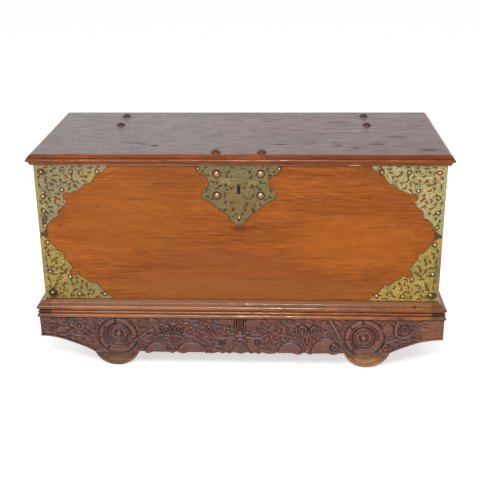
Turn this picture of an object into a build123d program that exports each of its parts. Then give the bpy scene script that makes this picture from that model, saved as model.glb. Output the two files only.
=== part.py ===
"""Damchiya chest: a teak dowry chest on four wooden wheels, with brass mounts and a carved apron.

All sizes are in millimetres.  +X runs along the chest to the right, +Y from its front to its back
and +Z up.  The origin is on the ground, at the centre of the chest's footprint.
"""
from build123d import *
import math
import os

# ---------------------------------------------------------------- driving dimensions
BODY_WIDTH = 1180.0            # the dovetailed box, across its end boards
BODY_DEPTH = 508.0             # the box, front face to back face
BODY_HEIGHT = 431.0            # height of its four boards
BOARD = 24.0                   # thickness of the four boards
FLOOR_THICKNESS = 22.0
LID_THICKNESS = 24.0
LID_OVERHANG = 3.0             # the lid planks beyond the box, front, sides and back
LID_REAR_PLANK = 265.0         # width of the rear one of the two lid planks
LID_EDGE_FLAT = 0.5            # flat on the lid moulding's top, next to the planks

WHEEL_RADIUS = 75.0
WHEEL_THICKNESS = 40.0
WHEEL_SPREAD = 780.0           # between the left and the right wheel centres
WHEEL_SETBACK = 29.0           # from the box's front or back face to the near wheel face
AXLE_SECTION = 50.0            # square axle beam
JOURNAL_RADIUS = 16.0
JOURNAL_CLEARANCE = 0.10       # radial, journal in wheel
WHEEL_SIDE_GAP = 0.4           # wheel to axle shoulder, and wheel to washer
WHEEL_EASE = 3.0               # worn edges of the rim
WHEEL_GROOVE_INSET = 11.0      # turned groove on each face, inside the rim
WHEEL_GROOVE_WIDTH = 4.0
WHEEL_GROOVE_DEPTH = 2.0
BOLSTER_WIDTH = 50.0
BOLSTER_HEIGHT = 121.0
BOLSTER_SETBACK = 80.0         # from the box's faces to the bolster's ends

RAIL_WIDTH = 44.2              # front and side plinth rails, over the mouldings
BACK_RAIL_WIDTH = 29.0
BEARER_WIDTH = 40.0
FLOOR_PLANKS = 3

APRON_THICKNESS = 24.0
APRON_REACH = 20.9             # outer faces of the aprons beyond the box
APRON_DROP = 120.5             # front apron, rail to its lowest edge
APRON_END_DROP = 66.0          # front apron, rail to its end corners
APRON_BRACKET = ((52.0, 6.0), (112.0, 27.0))   # on its end curve: inward from the end, below it
APRON_FOOT = 55.0              # its straight foot under each wheel, outward of the wheel centre
APRON_LOBE_START = 60.0        # and inward of it
APRON_LOBE_STEP = 14.0         # from the foot's end up to the level between the lobes
APRON_LOBE_DROP = 4.5          # of each lobe below that level
# The lobes from the wheels to the middle: (middle, half width), as shares of half their run.
APRON_LOBES = (
    (0.858, 0.042), (0.636, 0.039), (0.533, 0.046), (0.271, 0.068), (0.170, 0.030),
    (0.102, 0.029), (0.0, 0.042),
)
SIDE_APRON_RISE = 26.0         # how far the side apron arches up between its ends
CORNER_BLOCK = 40.0

MOUNT_THICKNESS = 1.5
PLATE_THICKNESS = 3.0          # hinge straps, strike plate and lock selvedge

# ---------------------------------------------------------------- moulding sections
# Each step ends a straight line at (stand-off from the box, drop from the top) or, where it has
# two points, an arc that passes through the first and ends at the second.
LID_SECTION = (
    ((8.6, 1.6), (12.6, 5.4)),
    ((12.2, 6.6),),
    ((14.8, 8.2), (13.4, 10.0)),
    ((13.0, 10.7),),
    ((19.1, 15.6), (15.4, 20.6)),
    ((13.2, 21.2),),
    ((12.6, 23.6),),
    ((9.8, 27.6), (9.4, 31.0)),
)
RAIL_SECTION = (
    ((3.2, 0.6),),
    ((11.6, 5.4),),
    ((12.6, 8.2), (16.4, 9.6)),
    ((17.0, 11.8),),
    ((25.2, 18.2), (20.8, 26.4)),
    ((18.0, 28.0),),
    ((17.8, 30.4),),
    ((22.6, 33.8), (19.6, 37.6)),
    ((19.0, 39.4),),
    ((25.2, 45.6), (22.8, 51.4)),
    ((21.2, 52.5),),
)

# ---------------------------------------------------------------- joints of the box
PIN_COUNT = 7                  # dovetail pins at each corner
PIN_HEIGHT_INSIDE = 32.0
PIN_HEIGHT_OUTSIDE = 26.0

# ---------------------------------------------------------------- brass mounts
# Leaf outlines: (distance from the chest's corner, distance from the leaf's straight edge).  The two
# leaves at a corner share the box's height, less the gap, so their second distances follow it.
LEAF_GAP = 9.0
UPPER_LEAF = (
    (212, 0), (212, 15), (198, 31), (176, 40), (163, 62), (147, 65), (134, 79), (112, 90),
    (104, 91), (82, 100), (88, 116), (80, 131), (60, 149), (60, 166), (47, 170), (33, 183),
    (27, 200), (9, 218),
)
LOWER_LEAF = (
    (210, 0), (193, 17), (178, 27), (166, 43), (163, 51), (145, 53), (130, 65), (114, 75),
    (108, 79), (90, 83), (86, 97), (90, 105), (78, 123), (66, 139), (66, 152), (52, 156),
    (40, 171), (30, 185), (12, 204),
)
UPPER_NAILS = ((20, 30), (106, 29), (183, 29), (77, 84), (19, 105), (18, 150), (18, 195))
LOWER_NAILS = ((20, 182), (20, 89), (80, 72), (22, 21), (104, 16), (182, 17))
NAIL_HEAD_RADIUS = 6.0
NAIL_HEAD_HEIGHT = 3.6
NAIL_SHANK_RADIUS = 1.5
NAIL_LENGTH = 16.0
HOLE_CLEARANCE = 0.1           # radial, round every nail, rivet and fixed pin

# ---------------------------------------------------------------- escutcheon and lock
ESCUTCHEON_HALF_WIDTH = 122.5
ESCUTCHEON_DROP = 192.0        # from the box's top edge to its lowest point
STUD_SPREAD = 126.0
STUD_DROPS = (34.0, 99.0)      # the two rows of copper studs, from the box's top edge
STUD_RADIUS = 10.5
STUD_HEIGHT = 6.5
STUD_SHANK_RADIUS = 3.0
SMALL_NAIL_RADIUS = 4.5
SMALL_NAIL_HEIGHT = 2.6
SMALL_NAIL_LENGTH = 12.0
# The escutcheon's edge, in the same steps: (inward from its half width, drop from the top edge).
ESCUTCHEON_EDGE = (
    ((0.0, 19.0),),
    ((9.0, 33.0), (21.0, 38.0)),
    ((35.0, 61.0), (20.0, 85.0)),
    ((14.0, 97.0), (30.0, 115.0)),
)
ESCUTCHEON_TIP_HALF = 31.0     # its rounded point: half width, and height
ESCUTCHEON_TIP_RISE = 30.0
ESCUTCHEON_TIP_BULGE = (21.0, 12.0)
ESCUTCHEON_NAIL_INSET = 6.5    # the small nails: from its side edges,
ESCUTCHEON_NAIL_DROP = 19.0    # below its top edge,
ESCUTCHEON_TIP_NAIL = 25.0     # and above its point
KEYHOLE_DROP = 71.0            # from the box's top edge to the keyhole's round part
KEYHOLE_RADIUS = 4.8
KEYHOLE_SLOT_WIDTH = 6.8
KEYHOLE_SLOT_DROP = 24.5       # from the round part's centre to the slot's lower end

LOCK_MARGIN = 12.0             # the lock case beyond the studs' centres, each side
LOCK_HEIGHT = 114.0            # from the box's top edge down
LOCK_FRONT_WOOD = 8.0          # wood left in front of the lock
LOCK_WALL = 2.0
SELVEDGE_MARGIN = 10.0         # the selvedge and the cover beyond the lock case, each side
KEY_POST_RADIUS = 2.0
KEY_POST_INSET = 1.0           # its end behind the front board's face
BOLT_THICKNESS = 6.0
BOLT_BAR_HEIGHT = 14.0
BOLT_BAR_DROP = 38.0           # from the box's top edge to the bolt bar's lower edge
BOLT_TRAVEL = 8.0
BOLT_RUNNING_GAP = 0.3
BOLT_REST_GAP = 1.0            # prongs to tongues, drawn back and thrown
BOLT_POST = 5.0                # width of the posts that carry the prongs
TALON_HALF = 16.0              # the bolt's talon over the key, and its notch
TALON_NOTCH_HALF = 6.0
TALON_NOTCH_RISE = 8.0
TALON_GAP = 6.0                # talon above the keyhole's round part
LEDGE_INSET = 8.0              # the case's two ledges under the bolt bar, inside the tongues
LEDGE_WIDTH = 10.0
LEDGE_HEIGHT = 4.0
TONGUE_INSET = 23.0            # the strike plate's two tongues inside the studs' centres
TONGUE_LENGTH = 21.0           # below the box's top edge
TONGUE_WIDTH = 10.0
EYE_HEIGHT = 7.0
EYE_WIDTH = 7.0
EYE_FOOT = 4.0                 # metal below the eye, at the tongue's end
STRIKE_MARGIN = 4.0            # strike plate beyond the lock, front and back
PRONG_SECTION = 5.0
TONGUE_SLOT_GAP = 1.2          # round each tongue, in the selvedge
STRIKE_RIVET_SPREAD = 131.0

# ---------------------------------------------------------------- hinges
HINGE_SPREAD = 780.0
STRAP_WIDTH = 40.0
LID_STRAP_LENGTH = 215.0       # inward from the box's back face
BACK_STRAP_LENGTH = 190.0
LID_RIVET_SETBACKS = (56.0, 177.0)
BACK_RIVET_DROPS = (35.0, 100.0, 165.0)
RIVET_RADIUS = 3.5
RIVET_HEAD_RADIUS = 13.0
RIVET_HEAD_HEIGHT = 9.0
KNUCKLE_RADIUS = 7.0
KNUCKLE_STANDOFF = 12.0        # hinge axis behind the box's back face
HINGE_PIN_RADIUS = 3.0
HINGE_PIN_CLEARANCE = 0.08
KNUCKLE_GAP = 0.4
MIDDLE_KNUCKLE = 16.0
PIN_CAP_THICKNESS = 2.0
PIN_CAP_RADIUS = 5.0

# ---------------------------------------------------------------- bail handles
HANDLE_DROP = 131.0            # from the box's top edge to the bail's pivot
HANDLE_STANDOFF = 16.0         # bail axis beyond the end board
BAIL_RADIUS = 4.5
BAIL_CLEARANCE = 0.1
BAIL_LEG_SPREAD = 144.0
BAIL_DROP = 58.0
BAIL_CORNER = 14.0
BAIL_PIN_CORNER = 6.0
EYE_SPREAD = 120.0
EYE_THICKNESS = 8.0
EYE_RADIUS = 9.0
EYE_SHANK_RADIUS = 4.0
EYE_NUT_RADIUS = 9.0
EYE_NUT_THICKNESS = 4.0
HANDLE_PLATE_LENGTH = 180.0
HANDLE_PLATE_HEIGHT = 50.0
HANDLE_PLATE_POINT = 18.0      # length of its pointed ends
HANDLE_PLATE_THICKNESS = 2.0

# ---------------------------------------------------------------- underframe fittings
WASHER_RADIUS = 23.0
WASHER_THICKNESS = 3.0
WASHER_CLEARANCE = 0.2
LINCHPIN_RADIUS = 3.5
LINCHPIN_LENGTH = 46.0
JOURNAL_END = 8.0              # journal beyond the linchpin's centre
AXLE_STRAP_WIDTH = 25.0
AXLE_STRAP_THICKNESS = 3.0
AXLE_STRAP_RISE = 50.0         # up the bolster's sides
AXLE_STRAP_SETBACK = 120.0     # from the box's faces
BATTEN_WIDTH = 36.0
BATTEN_THICKNESS = 22.0
BATTEN_CLEARANCE = 12.0        # battens to the box's inner faces
BATTEN_REAR_CLEARANCE = 40.0

# ---------------------------------------------------------------- derived places
LID_REACH = max(reach for step in LID_SECTION for reach, drop in step)
LID_MOULDING_HEIGHT = LID_SECTION[-1][-1][1]
RAIL_REACH = max(reach for step in RAIL_SECTION for reach, drop in step)
RAIL_HEIGHT = RAIL_SECTION[-1][-1][1]
HALF_WIDTH = BODY_WIDTH / 2
FOOTPRINT_DEPTH = RAIL_REACH + BODY_DEPTH + KNUCKLE_STANDOFF + KNUCKLE_RADIUS
FRONT = RAIL_REACH - FOOTPRINT_DEPTH / 2          # front face of the box
BACK = FRONT + BODY_DEPTH                         # back face of the box
MID_Y = (FRONT + BACK) / 2
AXLE_Z = WHEEL_RADIUS
AXLE_TOP = AXLE_Z + AXLE_SECTION / 2
FLOOR_UNDER = AXLE_TOP + BOLSTER_HEIGHT
FLOOR_TOP = FLOOR_UNDER + FLOOR_THICKNESS         # where the four boards stand
RAIL_UNDER = FLOOR_TOP - RAIL_HEIGHT
BODY_TOP = FLOOR_TOP + BODY_HEIGHT
LID_TOP = BODY_TOP + LID_THICKNESS
RAIL_JOINT = HALF_WIDTH + RAIL_REACH - RAIL_WIDTH   # where front and side rails meet
RAIL_INNER_FRONT = FRONT - RAIL_REACH + RAIL_WIDTH
RAIL_INNER_BACK = BACK - BACK_RAIL_WIDTH
APRON_HALF = HALF_WIDTH + APRON_REACH
APRON_FRONT = FRONT - APRON_REACH
APRON_BACK = APRON_FRONT + APRON_THICKNESS
HINGE_Y = BACK + KNUCKLE_STANDOFF
HINGE_Z = BODY_TOP + PLATE_THICKNESS / 2
LEAF_STRETCH = (BODY_HEIGHT - LEAF_GAP) / (UPPER_LEAF[-1][1] + LOWER_LEAF[-1][1])
LOCK_FRONT = FRONT + LOCK_FRONT_WOOD
LOCK_BACK = FRONT + BOARD
LOCK_WIDTH = STUD_SPREAD + 2 * LOCK_MARGIN
TONGUE_SPREAD = STUD_SPREAD - 2 * TONGUE_INSET
LEDGE_SPREAD = TONGUE_SPREAD - 2 * LEDGE_INSET
LOCK_MID_Y = (LOCK_FRONT + LOCK_BACK) / 2
KEYHOLE_Z = BODY_TOP - KEYHOLE_DROP

os.makedirs("parts", exist_ok=True)


# ---------------------------------------------------------------- shared shapes
def block(x0, x1, y0, y1, z0, z1):
    """A rectangular piece between two corners."""
    return Pos((x0 + x1) / 2, (y0 + y1) / 2, (z0 + z1) / 2) * Box(x1 - x0, y1 - y0, z1 - z0)


def rod_x(y, z, x0, x1, radius):
    return Pos((x0 + x1) / 2, y, z) * Rot(0, 90, 0) * Cylinder(radius, x1 - x0)


def rod_y(x, z, y0, y1, radius):
    return Pos(x, (y0 + y1) / 2, z) * Rot(90, 0, 0) * Cylinder(radius, y1 - y0)


def rod_z(x, y, z0, z1, radius):
    return Pos(x, y, (z0 + z1) / 2) * Cylinder(radius, z1 - z0)


def prism_x(face, x0, x1):
    """A face drawn as (y, z), run along X."""
    return extrude(Plane.YZ.offset(x0) * face, amount=x1 - x0)


def prism_y(face, y0, y1):
    """A face drawn as (x, z), run along Y."""
    return extrude(Plane.XZ.offset(-y1) * face, amount=y1 - y0)


def prism_z(face, z0, z1):
    """A face drawn as (x, y), run up Z."""
    return extrude(Plane.XY.offset(z0) * face, amount=z1 - z0)


def outline(points):
    """A flat face inside straight lines from point to point."""
    return make_face(Polyline(*points, close=True))


def stepped_edge(start, steps):
    """Lines and arcs through an edge's steps, and the point where they end."""
    lines = []
    for step in steps:
        if len(step) == 2:
            lines.append(ThreePointArc(start, step[0], step[1]))
        else:
            lines.append(Line(start, step[0]))
        start = step[-1]
    return lines, start


def moulding_face(section, depth, edge=0.0):
    """Section of a moulding as (stand-off, level): its worked side is +X, its top is at level 0.

    depth is how far the wood goes back behind the box's face, edge where its top flat ends.
    """
    steps = [[(x, -drop) for x, drop in step] for step in section]
    lines, end = stepped_edge((edge, 0.0), steps)
    lines.append(Polyline(end, (-depth, end[1]), (-depth, 0.0), (edge, 0.0)))
    return make_face(Curve() + lines)


def front_run(face, top, half_length):
    """The moulding section run along the chest's front, from side to side."""
    start = Plane((half_length, FRONT, top), x_dir=(0, -1, 0), z_dir=(-1, 0, 0))
    return extrude(start * face, amount=2 * half_length)


def side_run(face, top, y0, y1):
    """The moulding section run along the chest's right side, from y0 to y1."""
    start = Plane((HALF_WIDTH, y1, top), x_dir=(1, 0, 0), z_dir=(0, -1, 0))
    return extrude(start * face, amount=y1 - y0)


def other_side(solid):
    """The same piece, built for the chest's left side."""
    return mirror(solid, about=Plane.YZ)


def headed_pin(head_radius, head_height, shank_radius, length):
    """A nail, rivet or stud: a domed head on the plane z = 0, and its shank below."""
    curve = (head_radius ** 2 + head_height ** 2) / (2 * head_height)
    angle = math.asin(head_radius / curve) / 2
    crest = (curve * math.sin(angle), head_height - curve * (1 - math.cos(angle)))
    dome = make_face(Curve() + [
        Line((0, 0), (head_radius, 0)),
        ThreePointArc((head_radius, 0), crest, (0, head_height)),
        Line((0, head_height), (0, 0)),
    ])
    head = revolve(Plane.XZ * dome, axis=Axis.Z)
    return head + rod_z(0, 0, -length, 0, shank_radius)


TO_FRONT = Rot(90, 0, 0)       # turns a headed pin's head from up to the front
TO_BACK = Rot(-90, 0, 0)
TO_RIGHT = Rot(0, 90, 0)
TO_LEFT = Rot(0, -90, 0)


def drill(solid, holes):
    """The solid with every hole taken out of it."""
    for hole in holes:
        solid = solid - hole
    return solid


def save(name, *solids):
    """Write one piece, or one group of like pieces, to its own file."""
    flat = [part for solid in solids for part in solid.solids()]
    shape = flat[0] if len(flat) == 1 else Compound(flat)
    export_step(shape, f"parts/{name}.step")


# ---------------------------------------------------------------- nails and studs
def leaf_nail_places():
    """Every mount nail, as (turn, x, y, z): on the front leaves first, then on the side leaves."""
    places = []
    for nails, edge, way in ((UPPER_NAILS, BODY_TOP, -1), (LOWER_NAILS, FLOOR_TOP, 1)):
        for along, away in nails:
            z = edge + way * away * LEAF_STRETCH
            for side in (-1, 1):
                turn = TO_RIGHT if side > 0 else TO_LEFT
                places.append((TO_FRONT, side * (HALF_WIDTH - along), FRONT - MOUNT_THICKNESS, z))
                places.append((turn, side * (HALF_WIDTH + MOUNT_THICKNESS), FRONT + along, z))
    return places


def studs_at(places, pin):
    """The same headed pin set at each (turn, x, y, z)."""
    return [Pos(x, y, z) * turn * pin for turn, x, y, z in places]


NAIL_PLACES = leaf_nail_places()
STUD_PLACES = [
    (TO_FRONT, side * STUD_SPREAD / 2, FRONT - MOUNT_THICKNESS, BODY_TOP - drop)
    for side in (-1, 1) for drop in STUD_DROPS
]
SMALL_NAIL_PLACES = [
    (TO_FRONT, x, FRONT - MOUNT_THICKNESS, BODY_TOP - drop)
    for x, drop in (
        (ESCUTCHEON_NAIL_INSET - ESCUTCHEON_HALF_WIDTH, ESCUTCHEON_NAIL_DROP),
        (ESCUTCHEON_HALF_WIDTH - ESCUTCHEON_NAIL_INSET, ESCUTCHEON_NAIL_DROP),
        (0.0, ESCUTCHEON_DROP - ESCUTCHEON_TIP_NAIL),
    )
]

nail = headed_pin(NAIL_HEAD_RADIUS, NAIL_HEAD_HEIGHT, NAIL_SHANK_RADIUS, NAIL_LENGTH)
nail_hole = rod_z(0, 0, -NAIL_LENGTH, 0, NAIL_SHANK_RADIUS + HOLE_CLEARANCE)
stud_length = MOUNT_THICKNESS + BOARD + LOCK_WALL
stud = headed_pin(STUD_RADIUS, STUD_HEIGHT, STUD_SHANK_RADIUS, stud_length)
stud_hole = rod_z(0, 0, -stud_length, 0, STUD_SHANK_RADIUS + HOLE_CLEARANCE)
small_nail = headed_pin(SMALL_NAIL_RADIUS, SMALL_NAIL_HEIGHT, NAIL_SHANK_RADIUS, SMALL_NAIL_LENGTH)
small_nail_hole = rod_z(0, 0, -SMALL_NAIL_LENGTH, 0, NAIL_SHANK_RADIUS + HOLE_CLEARANCE)

mount_nails = studs_at(NAIL_PLACES, nail)
nail_holes = studs_at(NAIL_PLACES, nail_hole)
lock_studs = studs_at(STUD_PLACES, stud)
stud_holes = studs_at(STUD_PLACES, stud_hole)
escutcheon_nails = studs_at(SMALL_NAIL_PLACES, small_nail)
small_nail_holes = studs_at(SMALL_NAIL_PLACES, small_nail_hole)


# ---------------------------------------------------------------- the dovetailed box
def dovetail_pins(side, y0, y1):
    """The pins of one end board where they pass through the front or back board."""
    pitch = BODY_HEIGHT / PIN_COUNT
    inner = side * (HALF_WIDTH - BOARD)
    outer = side * HALF_WIDTH
    pins = []
    for index in range(PIN_COUNT):
        z = FLOOR_TOP + pitch * (index + 0.5)
        face = outline([
            (inner, z - PIN_HEIGHT_INSIDE / 2), (outer, z - PIN_HEIGHT_OUTSIDE / 2),
            (outer, z + PIN_HEIGHT_OUTSIDE / 2), (inner, z + PIN_HEIGHT_INSIDE / 2),
        ])
        pins.append(prism_y(face, y0, y1))
    return pins


def keyhole(y0, y1):
    """The keyhole's round part and slot, run through from y0 to y1."""
    slot = block(-KEYHOLE_SLOT_WIDTH / 2, KEYHOLE_SLOT_WIDTH / 2, y0, y1,
                 KEYHOLE_Z - KEYHOLE_SLOT_DROP, KEYHOLE_Z)
    return rod_y(0, KEYHOLE_Z, y0, y1, KEYHOLE_RADIUS) + slot


front_pins = dovetail_pins(-1, FRONT, FRONT + BOARD) + dovetail_pins(1, FRONT, FRONT + BOARD)
back_pins = dovetail_pins(-1, BACK - BOARD, BACK) + dovetail_pins(1, BACK - BOARD, BACK)

selvedge_half = LOCK_WIDTH / 2 + SELVEDGE_MARGIN
lock_bottom = BODY_TOP - LOCK_HEIGHT
mortise = block(-LOCK_WIDTH / 2, LOCK_WIDTH / 2, LOCK_FRONT, LOCK_BACK, lock_bottom, BODY_TOP)
selvedge_seat = block(-selvedge_half, selvedge_half, LOCK_FRONT, LOCK_BACK,
                      BODY_TOP - PLATE_THICKNESS, BODY_TOP)

front_board = block(-HALF_WIDTH, HALF_WIDTH, FRONT, FRONT + BOARD, FLOOR_TOP, BODY_TOP)
front_board = front_board - mortise - selvedge_seat - keyhole(FRONT, LOCK_FRONT)
front_board = drill(front_board, front_pins + nail_holes + stud_holes + small_nail_holes)
save("front_board", front_board)

back_board = block(-HALF_WIDTH, HALF_WIDTH, BACK - BOARD, BACK, FLOOR_TOP, BODY_TOP)
back_rivet_places = [
    (TO_BACK, side * HINGE_SPREAD / 2, BACK + PLATE_THICKNESS, BODY_TOP - drop)
    for side in (-1, 1) for drop in BACK_RIVET_DROPS
]
back_rivet_length = PLATE_THICKNESS + BOARD
back_rivet = headed_pin(RIVET_HEAD_RADIUS, RIVET_HEAD_HEIGHT, RIVET_RADIUS, back_rivet_length)
back_rivet_hole = rod_z(0, 0, -back_rivet_length, 0, RIVET_RADIUS + HOLE_CLEARANCE)
back_rivet_holes = studs_at(back_rivet_places, back_rivet_hole)
back_board = drill(back_board, back_pins + back_rivet_holes)
save("back_board", back_board)
save("hinge_back_rivets", *studs_at(back_rivet_places, back_rivet))

handle_z = BODY_TOP - HANDLE_DROP
eye_shank_holes = [
    rod_x(MID_Y + way * EYE_SPREAD / 2, handle_z, x0, x0 + BOARD, EYE_SHANK_RADIUS + HOLE_CLEARANCE)
    for way in (-1, 1) for x0 in (-HALF_WIDTH, HALF_WIDTH - BOARD)
]
for name, side in (("left_end_board", -1), ("right_end_board", 1)):
    x0, x1 = sorted((side * (HALF_WIDTH - BOARD), side * HALF_WIDTH))
    board = block(x0, x1, FRONT + BOARD, BACK - BOARD, FLOOR_TOP, BODY_TOP)
    for pin in dovetail_pins(side, FRONT, FRONT + BOARD) + dovetail_pins(side, BACK - BOARD, BACK):
        board = board + pin
    save(name, drill(board, nail_holes + eye_shank_holes))

# ---------------------------------------------------------------- floor and plinth frame
floor_half = HALF_WIDTH - BOARD    # the end boards stand on the side rails alone
floor_depth = RAIL_INNER_BACK - RAIL_INNER_FRONT
plank_depth = floor_depth / FLOOR_PLANKS
save("bottom_boards", *[
    block(-floor_half, floor_half, RAIL_INNER_FRONT + plank_depth * index,
          RAIL_INNER_FRONT + plank_depth * (index + 1), FLOOR_UNDER, FLOOR_TOP)
    for index in range(FLOOR_PLANKS)
])
save("floor_bearers", *[
    block(x - BEARER_WIDTH / 2, x + BEARER_WIDTH / 2, RAIL_INNER_FRONT, RAIL_INNER_BACK,
          RAIL_UNDER, FLOOR_UNDER)
    for x in (BEARER_WIDTH / 2 - RAIL_JOINT, 0.0, RAIL_JOINT - BEARER_WIDTH / 2)
])

rail_face = moulding_face(RAIL_SECTION, RAIL_WIDTH - RAIL_REACH)
save("plinth_front_rail", front_run(rail_face, FLOOR_TOP, RAIL_JOINT))
save("plinth_back_rail",
     block(-RAIL_JOINT, RAIL_JOINT, RAIL_INNER_BACK, BACK, RAIL_UNDER, FLOOR_TOP))

# A side rail carries the moulding along the side and, worked in its end grain, across its front.
end_face = moulding_face(RAIL_SECTION, BODY_DEPTH)
right_rail = side_run(rail_face, FLOOR_TOP, FRONT - RAIL_REACH, BACK)
right_rail = right_rail & front_run(end_face, FLOOR_TOP, HALF_WIDTH + RAIL_REACH)
save("plinth_right_rail", right_rail)
save("plinth_left_rail", other_side(right_rail))


# ---------------------------------------------------------------- aprons
def front_apron_face():
    """The carved apron's outline as (x, z): bracket ends, and a lobed edge between the wheels."""
    low = RAIL_UNDER - APRON_DROP
    end = RAIL_UNDER - APRON_END_DROP
    foot = WHEEL_SPREAD / 2 + APRON_FOOT
    lobe_start = WHEEL_SPREAD / 2 - APRON_LOBE_START
    high = low + APRON_LOBE_DROP
    bracket = [(APRON_HALF, end)]
    bracket += [(APRON_HALF - inward, end - below) for inward, below in APRON_BRACKET]
    bracket.append((foot, low))
    left_bracket = [(-x, z) for x, z in reversed(bracket)]
    lines = [
        Polyline((-APRON_HALF, end), (-APRON_HALF, RAIL_UNDER), (APRON_HALF, RAIL_UNDER), (APRON_HALF, end)),
        Spline(*bracket, tangents=[(-1, 0), (-0.8, -0.6)]),
        Line((foot, low), (lobe_start, low)),
        Line((-lobe_start, low), (-foot, low)),
        Spline(*left_bracket, tangents=[(-0.8, 0.6), (-1, 0)]),
    ]
    left_lobes = [(-middle, half) for middle, half in reversed(APRON_LOBES[:-1])]
    end = (lobe_start - APRON_LOBE_STEP, high)
    lines.append(Line((lobe_start, low), end))
    for middle, half in list(APRON_LOBES) + left_lobes:
        first = ((middle + half) * lobe_start, high)
        last = ((middle - half) * lobe_start, high)
        lines.append(Line(end, first))
        lines.append(ThreePointArc(first, (middle * lobe_start, low), last))
        end = last
    lines.append(Polyline(end, (APRON_LOBE_STEP - lobe_start, high), (-lobe_start, low)))
    return make_face(Curve() + lines)


save("front_apron", prism_y(front_apron_face(), APRON_FRONT, APRON_BACK))

side_low = RAIL_UNDER - APRON_END_DROP
side_face = make_face(Curve() + [
    Polyline((APRON_BACK, side_low), (APRON_BACK, RAIL_UNDER), (BACK, RAIL_UNDER), (BACK, side_low)),
    Line((BACK, side_low), (BACK - CORNER_BLOCK, side_low)),
    ThreePointArc((BACK - CORNER_BLOCK, side_low), ((APRON_BACK + BACK) / 2, side_low + SIDE_APRON_RISE),
                  (APRON_BACK + CORNER_BLOCK, side_low)),
    Line((APRON_BACK + CORNER_BLOCK, side_low), (APRON_BACK, side_low)),
])
right_apron = prism_x(side_face, APRON_HALF - APRON_THICKNESS, APRON_HALF)
save("right_apron", right_apron)
save("left_apron", other_side(right_apron))

apron_inner = APRON_HALF - APRON_THICKNESS
save("rear_apron", block(-apron_inner, apron_inner, BACK - APRON_THICKNESS, BACK, side_low, RAIL_UNDER))
save("corner_blocks", *[
    block(min(side * apron_inner, side * (apron_inner - CORNER_BLOCK)),
          max(side * apron_inner, side * (apron_inner - CORNER_BLOCK)), y0, y0 + CORNER_BLOCK,
          side_low, RAIL_UNDER)
    for side in (-1, 1) for y0 in (APRON_BACK, BACK - APRON_THICKNESS - CORNER_BLOCK)
])

# ---------------------------------------------------------------- axles and wheels
wheel_front = FRONT + WHEEL_SETBACK
wheel_back = BACK - WHEEL_SETBACK
washer_reach = WHEEL_SIDE_GAP + WASHER_THICKNESS
linchpin_reach = washer_reach + LINCHPIN_RADIUS + HOLE_CLEARANCE
journal_reach = linchpin_reach + JOURNAL_END
shoulder = WHEEL_THICKNESS + WHEEL_SIDE_GAP
linchpin_ys = (wheel_front - linchpin_reach, wheel_back + linchpin_reach)
linchpins = []
washers = []
straps = []
for name, side in (("left", -1), ("right", 1)):
    x = side * WHEEL_SPREAD / 2
    bolster = block(x - BOLSTER_WIDTH / 2, x + BOLSTER_WIDTH / 2, FRONT + BOLSTER_SETBACK,
                    BACK - BOLSTER_SETBACK, AXLE_TOP, FLOOR_UNDER)
    save(f"{name}_bolster", bolster)
    axle = block(x - AXLE_SECTION / 2, x + AXLE_SECTION / 2, wheel_front + shoulder, wheel_back - shoulder,
                 AXLE_Z - AXLE_SECTION / 2, AXLE_TOP)
    axle = axle + rod_y(x, AXLE_Z, wheel_front - journal_reach, wheel_back + journal_reach, JOURNAL_RADIUS)
    pin_holes = [
        rod_z(x, y, AXLE_Z - LINCHPIN_LENGTH, AXLE_Z + LINCHPIN_LENGTH, LINCHPIN_RADIUS + HOLE_CLEARANCE)
        for y in linchpin_ys
    ]
    save(f"{name}_axle", drill(axle, pin_holes))
    for y in linchpin_ys:
        linchpins.append(Pos(x, y, AXLE_Z) * Cylinder(LINCHPIN_RADIUS, LINCHPIN_LENGTH))
    for y0 in (wheel_front - washer_reach, wheel_back + WHEEL_SIDE_GAP):
        y1 = y0 + WASHER_THICKNESS
        bore = rod_y(x, AXLE_Z, y0, y1, JOURNAL_RADIUS + WASHER_CLEARANCE)
        washers.append(rod_y(x, AXLE_Z, y0, y1, WASHER_RADIUS) - bore)
    for y in (FRONT + AXLE_STRAP_SETBACK, BACK - AXLE_STRAP_SETBACK):
        outer = AXLE_SECTION / 2 + AXLE_STRAP_THICKNESS
        y0, y1 = y - AXLE_STRAP_WIDTH / 2, y + AXLE_STRAP_WIDTH / 2
        band = block(x - outer, x + outer, y0, y1, AXLE_Z - outer, AXLE_TOP + AXLE_STRAP_RISE)
        gap = block(x - AXLE_SECTION / 2, x + AXLE_SECTION / 2, y0, y1,
                    AXLE_Z - AXLE_SECTION / 2, AXLE_TOP + AXLE_STRAP_RISE)
        straps.append(band - gap)
save("linchpins", *linchpins)
save("wheel_washers", *washers)
save("axle_straps", *straps)


def wheel(x, y0):
    """A turned disc: eased edges, a groove inside the rim on both faces, and its axle hole."""
    y1 = y0 + WHEEL_THICKNESS
    disc = chamfer(rod_y(x, AXLE_Z, y0, y1, WHEEL_RADIUS).edges(), WHEEL_EASE)
    groove_outer = WHEEL_RADIUS - WHEEL_GROOVE_INSET
    groove_inner = groove_outer - WHEEL_GROOVE_WIDTH
    for start in (y0, y1 - WHEEL_GROOVE_DEPTH):
        end = start + WHEEL_GROOVE_DEPTH
        ring = rod_y(x, AXLE_Z, start, end, groove_outer) - rod_y(x, AXLE_Z, start, end, groove_inner)
        disc = disc - ring
    return disc - rod_y(x, AXLE_Z, y0, y1, JOURNAL_RADIUS + JOURNAL_CLEARANCE)


for row, y0 in (("front", wheel_front), ("rear", wheel_back - WHEEL_THICKNESS)):
    for name, side in (("left", -1), ("right", 1)):
        save(f"{row}_{name}_wheel", wheel(side * WHEEL_SPREAD / 2, y0))


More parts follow.
